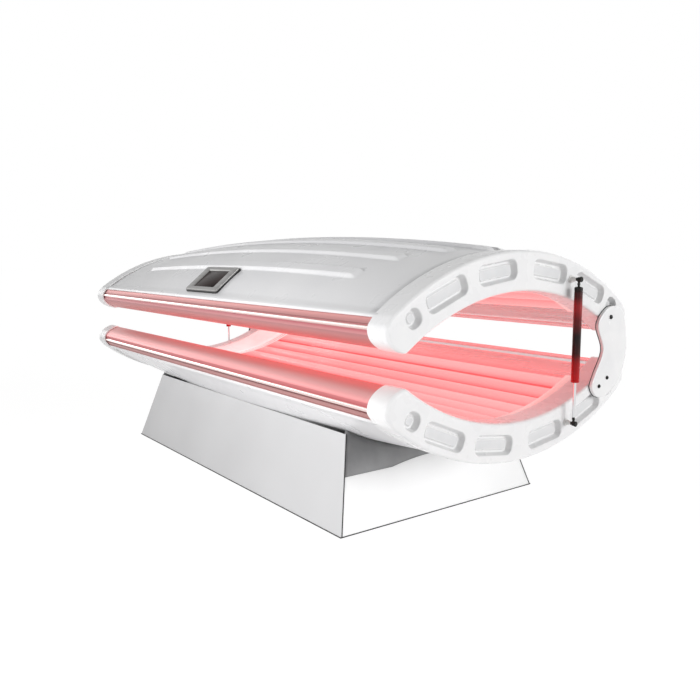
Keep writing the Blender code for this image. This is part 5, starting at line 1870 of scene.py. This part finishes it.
@dataclass
class Studio:
    """Camera, white floor and soft light."""

    eye: tuple[float, float, float] = (2.1515, -1.4371, 0.7298)
    azimuth: float = math.radians(53.10)
    pitch: float = math.radians(7.30)
    focal_px: float = 718.4
    frame_px: float = 700.0
    sensor_mm: float = 36.0
    world_light: float = 0.18
    floor_shine: float = 0.90
    floor_bounce: float = 0.28
    floor_strength: float = 1.075
    floor_half: float = 40.0

    def camera(self) -> None:
        """Sets the camera at the photograph's viewing angle."""
        lens = bpy.data.cameras.new("camera")
        lens.sensor_width = self.sensor_mm
        lens.lens = self.sensor_mm * self.focal_px / self.frame_px
        lens.clip_end = 100
        viewer = bpy.data.objects.new("camera", lens)
        a, e = self.azimuth, self.pitch
        back = Vector((math.sin(a) * math.cos(e), -math.cos(a) * math.cos(e), math.sin(e)))
        viewer.location = self.eye
        viewer.rotation_euler = (-back).to_track_quat("-Z", "Y").to_euler()
        bpy.context.scene.collection.objects.link(viewer)
        bpy.context.scene.camera = viewer

    def shown(self, tree: bpy.types.NodeTree) -> bpy.types.NodeSocket:
        """Tells the rays that see the background from those that only carry light.

        Args:
            tree: Node tree of the floor or the world.

        Returns:
            Socket that is 1 for camera, glossy and transmission rays.
        """
        path = add_node(tree, "ShaderNodeLightPath").outputs
        pair = {0: path["Is Camera Ray"], 1: path["Is Glossy Ray"]}
        first = add_node(tree, "ShaderNodeMath", pair, operation="MAXIMUM").outputs[0]
        pair = {0: first, 1: path["Is Transmission Ray"]}
        return add_node(tree, "ShaderNodeMath", pair, operation="MAXIMUM").outputs[0]

    def world(self) -> None:
        """Lights the scene evenly and shows white behind it."""
        world = bpy.data.worlds.new("studio")
        world.use_nodes = True
        bpy.context.scene.world = world
        tree = world.node_tree
        tree.nodes.clear()
        light = add_node(tree, "ShaderNodeBackground", {"Color": (1, 1, 1, 1), "Strength": self.world_light})
        white = add_node(tree, "ShaderNodeBackground", {"Color": (1, 1, 1, 1), "Strength": 1.0})
        mix = {0: self.shown(tree), 1: light.outputs[0], 2: white.outputs[0]}
        both = add_node(tree, "ShaderNodeMixShader", mix)
        add_node(tree, "ShaderNodeOutputWorld", {"Surface": both.outputs[0]})

    def floor(self) -> None:
        """Lays the white floor, which keeps a faint shadow."""
        bm = bmesh.new()
        bmesh.ops.create_grid(bm, x_segments=1, y_segments=1, size=self.floor_half)
        mesh = bpy.data.meshes.new("floor")
        bm.to_mesh(mesh)
        bm.free()
        ground = bpy.data.objects.new("floor", mesh)
        bpy.context.scene.collection.objects.link(ground)
        paint = bpy.data.materials.new("studio_floor")
        paint.use_nodes = True
        paint.cycles.emission_sampling = "NONE"
        tree = paint.node_tree
        tree.nodes.clear()
        matt = add_node(tree, "ShaderNodeBsdfDiffuse", {"Color": linear("#f7f7f7")})
        shine = add_node(tree, "ShaderNodeEmission", {"Color": (1, 1, 1, 1), "Strength": self.floor_strength})
        share = {"Value": self.shown(tree), "To Min": self.floor_bounce, "To Max": self.floor_shine}
        amount = add_node(tree, "ShaderNodeMapRange", share).outputs[0]
        both = add_node(tree, "ShaderNodeMixShader", {0: amount, 1: matt.outputs[0], 2: shine.outputs[0]})
        add_node(tree, "ShaderNodeOutputMaterial", {"Surface": both.outputs[0]})
        mesh.materials.append(paint)

    def lamp(self, name: str, source: Vector, strength: float, spread: float) -> None:
        """Hangs one soft light far away.

        Args:
            name: Name of the light.
            source: Direction that it comes from.
            strength: Its strength.
            spread: Angle in degrees over which it is soft.
        """
        light = bpy.data.lights.new(name, "SUN")
        light.energy = strength
        light.angle = math.radians(spread)
        light.cycles.max_bounces = 1
        item = bpy.data.objects.new(name, light)
        item.rotation_euler = (-source).to_track_quat("-Z", "Y").to_euler()
        bpy.context.scene.collection.objects.link(item)

    def softbox(
        self, name: str, place: Vector, target: Vector, size: Point, power: float, spread: float
    ) -> None:
        """Stands one softbox beside the bed.

        Args:
            name: Name of the light.
            place: Where it stands.
            target: What it faces.
            size: Its width and height.
            power: Its power in watts.
            spread: Angle in degrees that its grid lets out.
        """
        light = bpy.data.lights.new(name, "AREA")
        light.spread = math.radians(spread)
        light.shape = "RECTANGLE"
        light.size, light.size_y = size
        light.energy = power
        item = bpy.data.objects.new(name, light)
        item.location = place
        item.rotation_euler = (target - place).to_track_quat("-Z", "Y").to_euler()
        bpy.context.scene.collection.objects.link(item)

    def dress(self) -> None:
        """Sets up the studio."""
        self.camera()
        self.world()
        self.floor()
        self.lamp("key_light", Vector((0.90, 0.36, 0.12)), 2.55, 40)
        self.lamp("rim_light", Vector((-0.90, -0.30, 0.24)), 0.45, 28)
        self.lamp("back_light", Vector((-0.15, 0.90, 0.12)), 0.6, 60)
        place, target = Vector((0.55, -2.1, 0.88)), Vector((0.40, -0.35, 0.36))
        self.softbox("front_light", place, target, (0.8, 0.7), 15.5, 150)
        place, target = Vector((0.75, -1.2, 0.10)), Vector((0.60, -0.36, 0.06))
        self.softbox("low_light", place, target, (0.25, 0.25), 0.22, 70)
        bpy.context.scene.view_settings.view_transform = "Standard"


def main() -> None:
    """Builds the bed's pieces in order."""
    logging.basicConfig(level=logging.INFO, format="%(name)s: %(message)s")
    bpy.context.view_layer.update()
    Studio().dress()
    Shell(Half.CANOPY, ribbed=True).dress()
    Shell(Half.TUB, ribbed=False).dress()
    for half in Half:
        for side in Side:
            SideRail(half, side).dress()
        for end in End:
            EndCap(half, end).dress()
        LampDeck(half).dress()
    for end in End:
        Hinge(end).dress()
        GasStrut(end).dress()
    Screen().dress()
    stand = BaseStand()
    stand.dress()
    BellyPan(stand).dress()
    RearServices(stand).dress()


if __name__ == "__main__":
    main()
